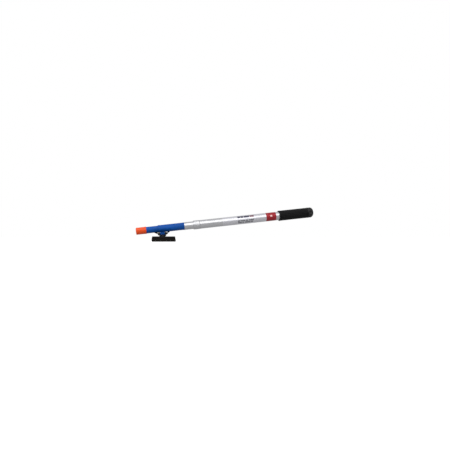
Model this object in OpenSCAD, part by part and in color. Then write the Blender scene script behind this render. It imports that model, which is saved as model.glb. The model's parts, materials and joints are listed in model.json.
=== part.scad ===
// Pole drywall sander: a telescoping pole with a ribbed grip, a moulded swivel head
// with a capped nose, and a sanding plate on a two-axis swivel under the head.
// Millimetres. The origin is the centre of the sandpaper's working face, +X runs towards
// the grip, +Y along the plate's long side, and +Z up from the working face.

/* [Pole] */
// Rise of the pole over the plate, in degrees
pole_tilt = 6.5; // [0:0.5:12]
// Outside diameter of the outer tube
outer_d = 32; // [31:0.5:33]
// Outside diameter of the sliding inner tube
inner_d = 28; // [27.5:0.25:28.2]
// Wall of both tubes
tube_wall = 1; // [0.9:0.05:1.1]
// Outer tube that shows between the lock collar and the grip
shaft_length = 308; // [250:1:400]
// Inner tube that shows when the pole is closed
inner_show = 34.3; // [20:0.5:60]
// Length of the lock collar
collar_length = 22.3; // [18:0.5:30]
// Length of the grip with its end knob
grip_length = 139.7; // [120:1:180]
// Diameter of the grip over its ribs
grip_d = 39; // [37:0.5:42]

/* [Head] */
// Length of the end cap
cap_length = 36.8; // [30:0.5:45]
// Diameter of the end cap
cap_d = 25.6; // [25:0.1:26.5]
// Nose tube that shows between the cap and the barrel
nose_show = 42.2; // [40:0.5:60]
// Diameter of the nose tube
nose_d = 23.8; // [23:0.1:24]
// Length of the moulded barrel
barrel_length = 95.9; // [90:0.5:120]
// Diameter of the moulded barrel
barrel_d = 27; // [26.5:0.1:27.4]
// Tip of the cap to the swivel, along the pole
swivel_from_tip = 93.4; // [92:0.2:96]

/* [Sanding plate] */
// Width of the plate, along the pole
plate_w = 80; // [76:1:84]
// Length of the plate, across the pole
plate_l = 230; // [210:1:240]
// Thickness of the backing plate
plate_t = 2.5; // [2:0.1:3]
// Thickness of the foam pad
pad_t = 8; // [7:0.5:8.5]
// Thickness of the sandpaper
paper_t = 0.4; // [0.3:0.05:0.5]

/* [Hidden] */
$fn = 64;

// Heights on the sanding plate, up from the working face
pad_z = paper_t;
plate_z = pad_z + pad_t;
plate_top = plate_z + plate_t;
flap_top = plate_top + paper_t;
pivot_z = 18.5;             // pitch bolt
clamp_top = 18;             // top of the clamp bars' lips

// Heights in the pole's own frame, up from the pitch bolt
roll_z = 9.4;               // roll bolt
axis_z = roll_z + 19;       // the pole's axis

// Radii
outer_r = outer_d / 2;
outer_bore = outer_r - tube_wall;
inner_r = inner_d / 2;
inner_bore = inner_r - tube_wall;
nose_r = nose_d / 2;
barrel_r = barrel_d / 2;
cap_r = cap_d / 2;
grip_r = grip_d / 2;
running = 0.05;             // radial play of a running fit

// Stations along the pole, from the swivel
tip_x = -swivel_from_tip;
cap_edge = tip_x + cap_length;
barrel_x = cap_edge + nose_show;
barrel_end = barrel_x + barrel_length;
collar_x = barrel_end + inner_show;
collar_end = collar_x + collar_length;
flange_t = 1.5;
tube_mouth = collar_end + flange_t;
grip_x = tube_mouth + shaft_length;
grip_end = grip_x + grip_length;
knob_length = 24;           // plain knob that closes the grip
knob_r = grip_r + 0.4;
knob_round = 12;            // rounding of the knob's far edge
plug_wall = 2.5;            // wall of the plugs in the tubes' back ends
tube_end = grip_end - 33;
hang_hole_x = grip_end - 15;
hang_hole_r = 4;
collet_depth = 30;          // collet inside the outer tube
inner_end = tube_end - 52;  // back end of the inner tube when the pole is closed
nose_depth = 46;            // nose tube inside the barrel
spigot_depth = 32;          // barrel inside the inner tube

// Label and badge
label_x = tube_mouth + 87;
label_length = 207;
film_t = 0.2;
badge_x = label_x + 168;
badge_length = 39;
badge_half_angle = 78;

// Swivel
tongue_half = 8;            // half the tongue's length along the pole
tongue_r = 4.9;
side_gap = 0.25;
ear_t = 4;
ear_r = 4.9;
ear_out = tongue_half + side_gap + ear_t;
boss_face = ear_out + 1.25; // a short boss on each ear, along the roll bolt
boss_tip_r = 4.6;
guard_half = 5;             // half the thickness of the guards in front of and behind the bolt
guard_front = 18.2;
guard_tip = 28.4;
guard_back = 20;
guard_tail = 26.5;
bolt_r = 2.5;
bush_r = 3.5;
eye_bush_r = 3.2;
roll_gap = 0.3;             // round the tongue, where it rolls in the yoke
bolt_head_r = 4.4;
bolt_head_t = 3;
nut_af = 8;                 // across the nuts' flats
nut_t = 4;
washer_r = 5;
washer_t = 0.8;
eye_r = 6.3;
eye_half = 8;               // half the eye's length across the pole
lug_gap = 0.3;
lug_t = 4.5;
lug_r = 6;
lug_out = eye_half + lug_gap + lug_t;

// Hinge bracket
bracket_w = 46;
bracket_l = 48;
bracket_t = 2.6;
rivet_x = 17;
rivet_y = 18.5;
rivet_r = 2;
through = 30;               // depth of a cut that goes right through the plate and what is on it

// Clamps
plate_corner_r = 6;
clamp_t = 1.8;
clamp_y = 94;               // inner edge of a clamp bar
clamp_outer_y = plate_l / 2 - 1.5;
clamp_l = plate_w - 3;
stud_x = 25;
stud_y = 102;
stud_r = 2.5;
stud_top = clamp_top - 0.3;
thumb_r = 7;
thumb_z = flap_top + clamp_t;
thumb_t = clamp_top - 0.4 - thumb_z;

// Puts its children in the pole's frame: +X along the pole, origin at the pitch bolt.
module in_pole_frame() {
    translate([0, 0, pivot_z]) rotate([0, -pole_tilt, 0]) children();
}

// Turns a shape built up along Z so that it runs along the pole's axis from station x.
module on_axis(x) {
    in_pole_frame() translate([x, 0, axis_z]) rotate([0, 90, 0]) children();
}

module ring(r_out, r_in, length) {
    difference() {
        cylinder(r = r_out, h = length);
        translate([0, 0, -1]) cylinder(r = r_in, h = length + 2);
    }
}

// A cylinder with both ends chamfered.
module chamfered(r, length, chamfer) {
    cylinder(r1 = r - chamfer, r2 = r, h = chamfer);
    translate([0, 0, chamfer]) cylinder(r = r, h = length - 2 * chamfer);
    translate([0, 0, length - chamfer]) cylinder(r1 = r, r2 = r - chamfer, h = chamfer);
}

module rounded_rect(width, length, r) {
    square([width - 2 * r, length], center = true);
    square([width, length - 2 * r], center = true);
    for (sx = [-1, 1], sy = [-1, 1])
        translate([sx * (width / 2 - r), sy * (length / 2 - r)]) circle(r = r);
}

module hex_nut(across_flats, thickness, bore_r) {
    difference() {
        cylinder(r = across_flats / sqrt(3), h = thickness, $fn = 6);
        translate([0, 0, -1]) cylinder(r = bore_r, h = thickness + 2);
    }
}

module pan_head(r, thickness) {
    cylinder(r = r, h = thickness * 0.6);
    translate([0, 0, thickness * 0.6]) cylinder(r1 = r, r2 = r * 0.72, h = thickness * 0.4);
}

// Outer tube, from the collet's flange to inside the grip.
module outer_tube() {
    color("silver") on_axis(tube_mouth) ring(outer_r, outer_bore, tube_end - tube_mouth);
}

// Half outline of a solid round end: radius r, a given length, and a rounded far edge.
module rounded_end(r, length, edge_r) {
    square([r, length - edge_r]);
    square([r - edge_r, length]);
    intersection() {
        translate([r - edge_r, length - edge_r]) circle(r = edge_r);
        square([r, length]);
    }
}

// Rubber grip: a mouth flange, 20 long ribs, and a rounded end knob with a hang hole.
module grip() {
    rib_count = 20;
    rib_r = 1.5;
    flange_length = 5;
    flange_r = grip_r + 0.5;
    core_r = grip_r - 0.9;
    knob_x = grip_end - knob_length;
    color([0.07, 0.07, 0.07]) difference() {
        union() {
            on_axis(grip_x) chamfered(flange_r, flange_length, 0.8);
            on_axis(grip_x) cylinder(r = core_r, h = knob_x - grip_x);
            on_axis(grip_x + flange_length) linear_extrude(knob_x - grip_x - flange_length)
                for (i = [0:rib_count - 1])
                    rotate(i * 360 / rib_count) translate([grip_r - rib_r, 0]) circle(r = rib_r);
            on_axis(knob_x) rotate_extrude() rounded_end(knob_r, knob_length, knob_round);
        }
        on_axis(grip_x - 1) cylinder(r = outer_r, h = tube_end - grip_x + 1);
        in_pole_frame() translate([hang_hole_x, 0, axis_z - knob_r - 5])
            cylinder(r = hang_hole_r, h = 2 * knob_r + 10);
    }
}

// Plug that closes the outer tube's back end, inside the grip.
module tube_end_plug() {
    length = 16;
    end_wall = 4;
    color("dimgray") on_axis(tube_end - length) difference() {
        chamfered(outer_bore, length, 0.8);
        translate([0, 0, -1]) cylinder(r = outer_bore - plug_wall, h = length - end_wall + 1);
    }
}

// Printed film round the outer tube.
module label_wrap() {
    color([0.85, 0.85, 0.88]) on_axis(label_x) ring(outer_r + film_t, outer_r, label_length);
}

// Square film badge on the label's front.
module label_badge() {
    badge_r = outer_r + 2 * film_t;
    reach = 3 * outer_r;
    side = reach * sin(badge_half_angle);
    near = -reach * cos(badge_half_angle);
    color([0.65, 0.09, 0.12]) on_axis(badge_x) intersection() {
        ring(badge_r, outer_r + film_t, badge_length);
        linear_extrude(badge_length)
            polygon([[0, 0], [side, near], [side, -reach], [-side, -reach], [-side, near]]);
    }
}

// Split collet: a sleeve pressed into the outer tube, a flange and tapered gripping fingers.
module mouth_collet() {
    neck_r = outer_bore + 0.1;
    taper = 5;
    slot_count = 6;
    slot_length = 14;
    slot_w = 1.2;
    front = collar_x + 2;
    color([0.3, 0.3, 0.32]) difference() {
        union() {
            on_axis(tube_mouth) cylinder(r = outer_bore, h = collet_depth);
            on_axis(collar_end) cylinder(r = outer_r, h = flange_t);
            on_axis(front + taper) cylinder(r = neck_r, h = collar_end - front - taper);
            on_axis(front) cylinder(r1 = neck_r - 0.6, r2 = neck_r, h = taper);
        }
        on_axis(front - 1) cylinder(r = inner_r + running, h = collar_end - front + collet_depth + 5);
        on_axis(front - 1) for (i = [0:slot_count - 1])
            rotate(i * 360 / slot_count) translate([0, -slot_w / 2, 0])
                cube([outer_r, slot_w, slot_length + 1]);
    }
}

// Knurled collar that closes the collet on the inner tube.
module lock_collar() {
    collar_r = outer_r + 0.5;
    lip_t = 1.6;
    groove_count = 36;
    groove_r = 0.7;
    plain = 4;
    color("silver") difference() {
        on_axis(collar_x) chamfered(collar_r, collar_length - 0.1, 0.6);
        on_axis(collar_x - 1) cylinder(r = inner_r + 0.25, h = lip_t + 2);
        on_axis(collar_x + lip_t) cylinder(r = outer_bore + 0.2, h = collar_length);
        on_axis(collar_x + plain) for (i = [0:groove_count - 1])
            rotate(i * 360 / groove_count) translate([collar_r + 0.35, 0, 0])
                cylinder(r = groove_r, h = collar_length - 2 * plain);
    }
}

// Inner tube, from the barrel's shoulder to the guide bush.
module inner_tube() {
    color("silver") on_axis(barrel_end) ring(inner_r, inner_bore, inner_end - barrel_end);
}

// Bush that guides the inner tube's back end along the outer tube.
module guide_bush() {
    length = 18;
    cap_t = 2;
    color("ivory") difference() {
        on_axis(inner_end - length) cylinder(r = outer_bore - running, h = length + cap_t);
        on_axis(inner_end - length - 1) cylinder(r = inner_r, h = length + 1);
        on_axis(inner_end - 1) cylinder(r = inner_bore - 1, h = cap_t + 2);
    }
}

// Plug in the inner tube's back end.
module inner_tube_plug() {
    length = 14;
    end_wall = 3;
    color("dimgray") on_axis(inner_end - length) difference() {
        chamfered(inner_bore, length, 0.6);
        translate([0, 0, -1]) cylinder(r = inner_bore - plug_wall, h = length - end_wall + 1);
    }
}

// Moulded head: barrel with end beads, back spigot, and the tongue that hangs on the roll bolt.
module head_barrel() {
    bead_length = 4;
    bead_r = barrel_r + 0.35;
    web_t = 5;
    spigot_wall = 3;
    root_half = 9.5;        // half the width of the tongue's root, under the barrel
    root_z = axis_z - 6;
    color([0.05, 0.22, 0.6]) difference() {
        union() {
            on_axis(barrel_x) chamfered(barrel_r, barrel_length, 0.8);
            on_axis(barrel_x + 1) chamfered(bead_r, bead_length, 0.5);
            on_axis(barrel_end - bead_length - 0.6) chamfered(bead_r, bead_length, 0.5);
            on_axis(barrel_end - 1) cylinder(r = inner_bore, h = spigot_depth + 1);
            in_pole_frame() translate([-tongue_half, 0, 0]) rotate([90, 0, 90])
                linear_extrude(2 * tongue_half) {
                    translate([0, roll_z]) circle(r = tongue_r);
                    polygon([
                        [-tongue_r, roll_z], [tongue_r, roll_z],
                        [root_half, root_z], [-root_half, root_z]
                    ]);
                }
        }
        on_axis(barrel_x - 1) cylinder(r = nose_r, h = nose_depth + 1);
        on_axis(barrel_x + nose_depth + web_t) cylinder(r = inner_bore - spigot_wall, h = barrel_length);
        in_pole_frame() translate([-tongue_half - 1, 0, roll_z]) rotate([0, 90, 0])
            cylinder(r = bush_r, h = 2 * tongue_half + 2);
        barrel_screw_holes();
    }
}

// Stations of the two screws on the barrel's top: one in the nose tube, one in the inner tube's spigot.
screw_stations = [barrel_x + 24, barrel_end - 14];
screw_r = 1.6;
screw_sink = 1.6;
screw_seat_r = 3.4;
screw_root_z = nose_r - 3;
screw_head_r = 3.2;
screw_head_t = 1.8;

module barrel_screw_holes() {
    for (x = screw_stations) in_pole_frame() {
        translate([x, 0, axis_z]) cylinder(r = screw_r, h = barrel_r + 2);
        translate([x, 0, axis_z + barrel_r - screw_sink]) cylinder(r = screw_seat_r, h = screw_sink + 2);
    }
}

// Pan-head screws that hold the nose tube and the back of the barrel.
module barrel_screws() {
    shank = barrel_r - screw_sink - screw_root_z;
    slot = [3.4, 0.8, 1.6]; // one arm of the cross recess
    color("dimgray") for (x = screw_stations) in_pole_frame() difference() {
        translate([x, 0, axis_z + screw_root_z]) union() {
            cylinder(r = screw_r, h = shank + 0.01);
            translate([0, 0, shank]) pan_head(screw_head_r, screw_head_t);
        }
        translate([x, 0, axis_z + barrel_r + 0.2]) for (a = [0, 90]) rotate(a) cube(slot, center = true);
    }
}

// Nose tube, between the barrel and the end cap.
module nose_tube() {
    cap_end_t = 2.5;
    wall = 1.5;
    color([0.05, 0.22, 0.6]) difference() {
        on_axis(tip_x + cap_end_t) ring(nose_r, nose_r - wall, barrel_x + nose_depth - tip_x - cap_end_t);
        in_pole_frame() translate([screw_stations[0], 0, axis_z]) cylinder(r = screw_r, h = nose_r + 1);
    }
}

// Soft cap pushed over the nose tube.
module end_cap() {
    cap_end_t = 2.5;
    round_r = 2.5;
    bead_length = 3;
    color([0.93, 0.33, 0.12]) difference() {
        union() {
            on_axis(cap_edge) mirror([0, 0, 1]) rotate_extrude() rounded_end(cap_r, cap_length, round_r);
            on_axis(cap_edge - bead_length) chamfered(cap_r + 0.3, bead_length, 0.3);
        }
        on_axis(tip_x + cap_end_t) cylinder(r = nose_r, h = cap_length);
    }
}

// Black guards under the nose and the barrel, on either side of the roll bolt. Each tapers away from it.
module swivel_guards() {
    slope = 0.56;           // rise of a guard's underside along the pole
    back_z = roll_z + 1;    // underside of the back guard beside the nut
    color([0.09, 0.09, 0.09]) {
        difference() {
            guard(-guard_tip, -guard_front, roll_z + slope * (guard_tip - guard_front), roll_z);
            on_axis(-guard_tip - 1) cylinder(r = nose_r, h = guard_tip);
        }
        difference() {
            guard(guard_back, guard_tail, back_z, back_z + slope * (guard_tail - guard_back));
            on_axis(0) cylinder(r = barrel_r, h = 2 * guard_tail);
        }
    }
}

// A block under the pole between two stations, with its underside at the given heights.
module guard(x1, x2, z1, z2) {
    top_z = axis_z - 8;
    in_pole_frame() translate([0, guard_half, 0]) rotate([90, 0, 0]) linear_extrude(2 * guard_half)
        polygon([[x1, z1], [x2, z2], [x2, top_z], [x1, top_z]]);
}

// Bush in the tongue, on the roll bolt.
module tongue_bush() {
    color("ivory") in_pole_frame() translate([-tongue_half, 0, roll_z]) rotate([0, 90, 0])
        ring(bush_r, bolt_r + running, 2 * tongue_half);
}

// Yoke of the two-axis swivel: ears on the roll bolt, over an eye on the pitch bolt.
module swivel_yoke() {
    floor_z = roll_z - tongue_r - roll_gap;
    shoulder_z = 0.5;       // where the yoke's body starts to widen from the eye
    sole_z = -3.5;
    sole_half = eye_r - 1.2;
    color([0.09, 0.09, 0.09]) difference() {
        in_pole_frame() union() {
            for (side = [-1, 1]) translate([side > 0 ? tongue_half + side_gap : -ear_out, 0, 0])
                rotate([90, 0, 90]) linear_extrude(ear_t) {
                    translate([0, roll_z]) circle(r = ear_r);
                    polygon([[-ear_r, roll_z], [ear_r, roll_z], [eye_half, 0], [-eye_half, 0]]);
                }
            translate([ear_out - 0.5, 0, roll_z]) rotate([0, 90, 0])
                cylinder(r1 = ear_r, r2 = boss_tip_r, h = boss_face - ear_out + 0.5);
            translate([-ear_out + 0.5, 0, roll_z]) rotate([0, -90, 0])
                cylinder(r1 = ear_r, r2 = boss_tip_r, h = boss_face - ear_out + 0.5);
            translate([0, eye_half, 0]) rotate([90, 0, 0]) linear_extrude(2 * eye_half) {
                circle(r = eye_r);
                polygon([
                    [-sole_half, sole_z], [sole_half, sole_z], [ear_out, shoulder_z],
                    [ear_out, floor_z], [-ear_out, floor_z], [-ear_out, shoulder_z]
                ]);
            }
        }
        in_pole_frame() translate([0, eye_half + 1, 0]) rotate([90, 0, 0])
            cylinder(r = eye_bush_r, h = 2 * eye_half + 2);
        in_pole_frame() translate([-tongue_half - side_gap, 0, roll_z]) rotate([0, 90, 0])
            cylinder(r = tongue_r + roll_gap, h = 2 * (tongue_half + side_gap));
        in_pole_frame() translate([-boss_face - 1, 0, roll_z]) rotate([0, 90, 0])
            cylinder(r = bolt_r, h = 2 * boss_face + 2);
    }
}

// Washer under the head and under the nut of the roll bolt.
module roll_washers() {
    color("gray") in_pole_frame() for (x = [-boss_face - washer_t, boss_face])
        translate([x, 0, roll_z]) rotate([0, 90, 0]) ring(washer_r, bolt_r, washer_t);
}

module roll_bolt() {
    head_x = -boss_face - washer_t;
    shank = 2 * boss_face + 2 * washer_t + nut_t + 1;
    color([0.15, 0.15, 0.16]) in_pole_frame() {
        translate([head_x, 0, roll_z]) rotate([0, 90, 0]) cylinder(r = bolt_r, h = shank);
        translate([head_x, 0, roll_z]) rotate([0, -90, 0]) pan_head(bolt_head_r, bolt_head_t);
    }
}

module roll_nut() {
    color([0.15, 0.15, 0.16]) in_pole_frame() translate([boss_face + washer_t, 0, roll_z])
        rotate([0, 90, 0]) hex_nut(nut_af, nut_t, bolt_r);
}

// Bush in the yoke's eye, on the pitch bolt.
module pitch_bush() {
    color("ivory") in_pole_frame() translate([0, eye_half, 0]) rotate([90, 0, 0])
        ring(eye_bush_r, bolt_r + running, 2 * eye_half);
}

// Bracket riveted to the plate, with the two lugs that hold the pitch bolt.
module hinge_bracket() {
    lug_foot = 12;
    lug_z = pivot_z - plate_top - bracket_t;
    color([0.09, 0.09, 0.09]) difference() {
        union() {
            translate([0, 0, plate_top]) linear_extrude(bracket_t)
                rounded_rect(bracket_w, bracket_l, 6);
            for (side = [-1, 1]) translate([0, side > 0 ? lug_out : -lug_out + lug_t, pivot_z])
                rotate([90, 0, 0]) linear_extrude(lug_t) {
                    circle(r = lug_r);
                    polygon([[-lug_r, 0], [lug_r, 0], [lug_foot, -lug_z - 0.5], [-lug_foot, -lug_z - 0.5]]);
                }
        }
        translate([0, lug_out + 1, pivot_z]) rotate([90, 0, 0]) cylinder(r = bolt_r, h = 2 * lug_out + 2);
        for (sx = [-1, 1], sy = [-1, 1]) translate([sx * rivet_x, sy * rivet_y, 0])
            cylinder(r = rivet_r, h = through);
        // Trough that the yoke's round underside swings over
        translate([0, eye_half + lug_gap, pivot_z]) rotate([90, 0, 0])
            cylinder(r = eye_r + 0.4, h = 2 * (eye_half + lug_gap));
    }
}

// Rivets that hold the bracket on the plate.
module bracket_rivets() {
    color("gray") for (sx = [-1, 1], sy = [-1, 1]) translate([sx * rivet_x, sy * rivet_y, plate_z]) {
        cylinder(r = rivet_r, h = plate_t + bracket_t);
        translate([0, 0, plate_t + bracket_t]) pan_head(3.6, 1.6);
    }
}

module pitch_bolt() {
    shank = 2 * lug_out + 2 * washer_t + nut_t + 1;
    color([0.15, 0.15, 0.16]) translate([0, -lug_out - washer_t, pivot_z]) {
        rotate([-90, 0, 0]) cylinder(r = bolt_r, h = shank);
        rotate([90, 0, 0]) pan_head(bolt_head_r, bolt_head_t);
    }
}

module pitch_nut() {
    color([0.15, 0.15, 0.16]) translate([0, lug_out + washer_t, pivot_z])
        rotate([-90, 0, 0]) hex_nut(nut_af, nut_t, bolt_r);
}

module pitch_washers() {
    color("gray") for (y = [-lug_out - washer_t, lug_out])
        translate([0, y, pivot_z]) rotate([-90, 0, 0]) ring(washer_r, bolt_r, washer_t);
}

// Places its children at the four clamp studs.
module at_studs() {
    for (sx = [-1, 1], sy = [-1, 1]) translate([sx * stud_x, sy * stud_y, 0]) children();
}

// Painted plate with a raised rim along both long sides and two stiffening ribs.
module backing_plate() {
    rim_w = 2.2;
    rim_h = 2;
    rib_w = 3;
    rib_x = 27;
    rib_l = 2 * clamp_y - 10;
    rib_h = 1.1;
    sunk = 0.5;             // how far the rims and ribs reach down into the plate
    color([0.1, 0.1, 0.1]) difference() {
        union() {
            translate([0, 0, plate_z]) linear_extrude(plate_t) rounded_rect(plate_w, plate_l, plate_corner_r);
            for (side = [-1, 1]) {
                translate([side * (plate_w - rim_w) / 2, 0, plate_top + (rim_h - sunk) / 2])
                    cube([rim_w, rib_l, rim_h + sunk], center = true);
                translate([side * rib_x, 0, plate_top + (rib_h - sunk) / 2])
                    cube([rib_w, rib_l, rib_h + sunk], center = true);
            }
        }
        at_studs() cylinder(r = stud_r, h = through);
        for (sx = [-1, 1], sy = [-1, 1]) translate([sx * rivet_x, sy * rivet_y, 0])
            cylinder(r = rivet_r, h = through);
    }
}

// Foam pad glued under the plate.
module foam_pad() {
    color([0.12, 0.12, 0.12]) translate([0, 0, pad_z]) linear_extrude(pad_t)
        rounded_rect(plate_w, plate_l, plate_corner_r);
}

// Sandpaper: across the pad's face, up both short ends and in over the plate under the clamps.
module sandpaper() {
    half = plate_l / 2;
    flap_y = clamp_y - 4;
    notch = [2 * stud_r + 1, 22, 3];
    notch_y = stud_y - 8;
    color([0.2, 0.19, 0.18]) difference() {
        translate([-plate_w / 2 + 1, 0, 0]) rotate([90, 0, 90]) linear_extrude(plate_w - 2) {
            translate([-half, 0]) square([2 * half, paper_t]);
            for (side = [-1, 1]) {
                translate([side > 0 ? half : -half - paper_t, 0]) square([paper_t, flap_top]);
                translate([side > 0 ? flap_y : -half, plate_top]) square([half - flap_y, paper_t]);
            }
        }
        for (sx = [-1, 1], sy = [-1, 1])
            translate([sx * stud_x, sy * notch_y, plate_top + 1]) cube(notch, center = true);
    }
}

// Studs that the clamps' thumb nuts turn on.
module clamp_studs() {
    color("gray") at_studs() translate([0, 0, plate_z]) cylinder(r = stud_r, h = stud_top - plate_z);
}

// One clamp bar: a flat strip on the paper's flap and a lip along its outer edge.
module clamp_bar(side) {
    hole_r = stud_r + 0.3;
    lip_t = 1.8;
    leg_corner_r = 2.5;
    lip_corner_r = 3;
    color([0.1, 0.1, 0.1]) difference() {
        union() {
            translate([0, side * (clamp_y + clamp_outer_y) / 2, flap_top]) linear_extrude(clamp_t)
                rounded_rect(clamp_l, clamp_outer_y - clamp_y, leg_corner_r);
            translate([0, side * (clamp_outer_y - lip_t / 2) + lip_t / 2, (flap_top + clamp_top) / 2])
                rotate([90, 0, 0]) linear_extrude(lip_t)
                    rounded_rect(clamp_l, clamp_top - flap_top, lip_corner_r);
            translate([0, side * (clamp_outer_y - lip_t / 2), flap_top + clamp_t / 2])
                cube([clamp_l - 2 * leg_corner_r, lip_t, clamp_t], center = true);
        }
        at_studs() cylinder(r = hole_r, h = through);
    }
}

// Knurled thumb nut on one stud.
module thumb_nut(side_x, side_y) {
    knurls = 18;
    knurl_r = 0.8;
    color([0.13, 0.13, 0.14]) translate([side_x * stud_x, side_y * stud_y, thumb_z]) difference() {
        chamfered(thumb_r, thumb_t, 0.5);
        translate([0, 0, -1]) cylinder(r = stud_r + running, h = thumb_t + 2);
        for (i = [0:knurls - 1]) rotate(i * 360 / knurls) translate([thumb_r + 0.3, 0, 1])
            cylinder(r = knurl_r, h = thumb_t);
    }
}

outer_tube();
grip();
tube_end_plug();
label_wrap();
label_badge();
mouth_collet();
lock_collar();
inner_tube();
guide_bush();
inner_tube_plug();
head_barrel();
nose_tube();
end_cap();
barrel_screws();
swivel_guards();
tongue_bush();
swivel_yoke();
roll_bolt();
roll_nut();
roll_washers();
pitch_bush();
hinge_bracket();
bracket_rivets();
pitch_bolt();
pitch_nut();
pitch_washers();
backing_plate();
foam_pad();
sandpaper();
clamp_studs();
clamp_bar(-1);  // clamp_bar_front
clamp_bar(1);  // clamp_bar_back
thumb_nut(-1, -1);  // thumb_nut_front_1
thumb_nut(1, -1);  // thumb_nut_front_2
thumb_nut(-1, 1);  // thumb_nut_back_1
thumb_nut(1, 1);  // thumb_nut_back_2
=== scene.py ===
import json
import math

import bmesh
import bpy
from bpy.props import FloatProperty, FloatVectorProperty, IntProperty, PointerProperty
from bpy.types import Operator, Panel, PropertyGroup
from mathutils import Matrix, Vector, noise


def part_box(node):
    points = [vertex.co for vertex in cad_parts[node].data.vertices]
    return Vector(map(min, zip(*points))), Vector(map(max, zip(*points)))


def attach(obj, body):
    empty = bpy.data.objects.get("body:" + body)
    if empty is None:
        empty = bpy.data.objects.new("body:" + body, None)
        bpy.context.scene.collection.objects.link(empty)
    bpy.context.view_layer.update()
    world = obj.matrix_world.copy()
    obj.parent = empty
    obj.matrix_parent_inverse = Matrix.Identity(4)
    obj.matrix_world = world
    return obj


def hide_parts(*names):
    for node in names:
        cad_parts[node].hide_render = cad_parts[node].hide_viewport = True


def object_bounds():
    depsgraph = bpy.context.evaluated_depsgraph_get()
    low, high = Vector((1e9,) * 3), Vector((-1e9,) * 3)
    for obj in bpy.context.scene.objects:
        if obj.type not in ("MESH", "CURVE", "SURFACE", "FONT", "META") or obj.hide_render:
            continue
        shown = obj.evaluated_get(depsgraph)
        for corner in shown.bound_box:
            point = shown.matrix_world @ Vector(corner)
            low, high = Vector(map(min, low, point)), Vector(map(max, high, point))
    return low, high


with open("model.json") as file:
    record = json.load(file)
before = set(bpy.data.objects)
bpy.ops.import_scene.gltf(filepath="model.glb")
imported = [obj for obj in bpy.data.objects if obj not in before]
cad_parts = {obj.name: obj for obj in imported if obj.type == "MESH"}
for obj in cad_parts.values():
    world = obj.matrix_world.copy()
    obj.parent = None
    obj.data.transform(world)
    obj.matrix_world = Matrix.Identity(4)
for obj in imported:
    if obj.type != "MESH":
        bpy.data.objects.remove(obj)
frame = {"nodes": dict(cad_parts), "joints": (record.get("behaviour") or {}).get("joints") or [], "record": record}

bl_info = {
    "name": "Pole drywall sander",
    "version": (1, 0, 0),
    "blender": (4, 5, 0),
    "location": "3D View > Sidebar > Sander",
    "description": "Builds the looks of a pole drywall sander round its CAD frame",
    "category": "Add Mesh",
}

CAD_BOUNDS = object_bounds()
MM = 0.001
KNOB_LENGTH = 24 * MM
BEAD_RISE = 0.35 * MM
EAR = 4.9 * MM
THREAD_RADIUS = 2.5 * MM
THREAD_PITCH = 0.8 * MM
THREAD_DEPTH = 0.35 * MM
SCREW_RISE = 1.8 * MM
RIVET_RADIUS = 3.6 * MM
RIVET_RISE = 1.6 * MM
PLATE_CORNER = 6 * MM
FINE_GRAIN = 0.7  # share of the mould grain at which the swivel's small parts are fused
BLACK_SHINE = 0.11
FULL_TURN = 2 * math.pi
RIGHT_ANGLE = math.pi / 2
JOINTS = {joint["name"]: joint for joint in frame["joints"]}


# ---------------------------------------------------------------- places from the frame

def pole_place():
    """Place of the pole's own frame: X along the pole from the pitch bolt to the grip, Z up."""
    along = -Vector(JOINTS["pole_extend"]["axis"])
    across = Vector((0, 1, 0))
    turn = Matrix((along, across, along.cross(across))).transposed().to_4x4()
    return Matrix.Translation(JOINTS["head_pitch"]["pos_m"]) @ turn


POLE = pole_place()
INTO_POLE = POLE.inverted()


def pole_box(node):
    """Lowest and highest corner of a CAD node in the pole's own frame."""
    points = [INTO_POLE @ vertex.co for vertex in frame["nodes"][node].data.vertices]
    low = Vector([min(point[i] for point in points) for i in range(3)])
    high = Vector([max(point[i] for point in points) for i in range(3)])
    return low, high


def round_span(node):
    """Start, end and greatest radius of a CAD node that is round about the pole's axis."""
    low, high = pole_box(node)
    return low.x, high.x, (high.y - low.y) / 2


def radius_of(node):
    """Greatest radius of a CAD node that is round about the pole's axis."""
    return round_span(node)[2]


AXIS_Z = sum(corner.z for corner in pole_box("outer_tube")) / 2
ROLL_Z = (INTO_POLE @ Vector(JOINTS["head_roll"]["pos_m"])).z
PIVOT = Vector(JOINTS["head_pitch"]["pos_m"])
POLE_AXIS = POLE @ Matrix.Translation((0, 0, AXIS_Z))
ROLL_AXIS = POLE @ Matrix.Translation((0, 0, ROLL_Z))
PITCH_AXIS = Matrix.Translation(PIVOT) @ Matrix.Rotation(RIGHT_ANGLE, 4, "Z")


def upright(x, y, z):
    """Place whose X points straight up from (x, y, z)."""
    return Matrix.Translation((x, y, z)) @ Matrix.Rotation(-RIGHT_ANGLE, 4, "Y")


# ---------------------------------------------------------------- outlines

def rounded_path(corners, closed=False, steps=5):
    """Points of a path of straight runs whose corners (x, y, radius, ...) are rounded off.

    What a corner holds after its radius is kept on each of its points.
    """
    points = []
    count = len(corners)
    for i, (x, y, radius, *rest) in enumerate(corners):
        here = Vector((x, y))
        if radius == 0 or (not closed and i in (0, count - 1)):
            points.append((x, y, *rest))
            continue
        back = (Vector(corners[i - 1][:2]) - here).normalized()
        ahead = (Vector(corners[(i + 1) % count][:2]) - here).normalized()
        half = back.angle(ahead) / 2
        centre = here + (back + ahead).normalized() * (radius / math.sin(half))
        first = here + back * (radius / math.tan(half)) - centre
        last = here + ahead * (radius / math.tan(half)) - centre
        for k in range(steps + 1):
            point = centre + first.slerp(last, k / steps).normalized() * radius
            points.append((point.x, point.y, *rest))
    return points


def soft_edges(low, high, edge, steps=3):
    """(height, inset) pairs that round off the lower and upper edge of a slab."""
    arc = [RIGHT_ANGLE * k / steps for k in range(steps + 1)]
    lower = [(low + edge * (1 - math.cos(a)), edge * (1 - math.sin(a))) for a in arc]
    upper = [(high - edge * (1 - math.cos(a)), edge * (1 - math.sin(a))) for a in reversed(arc)]
    return lower + upper


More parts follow.
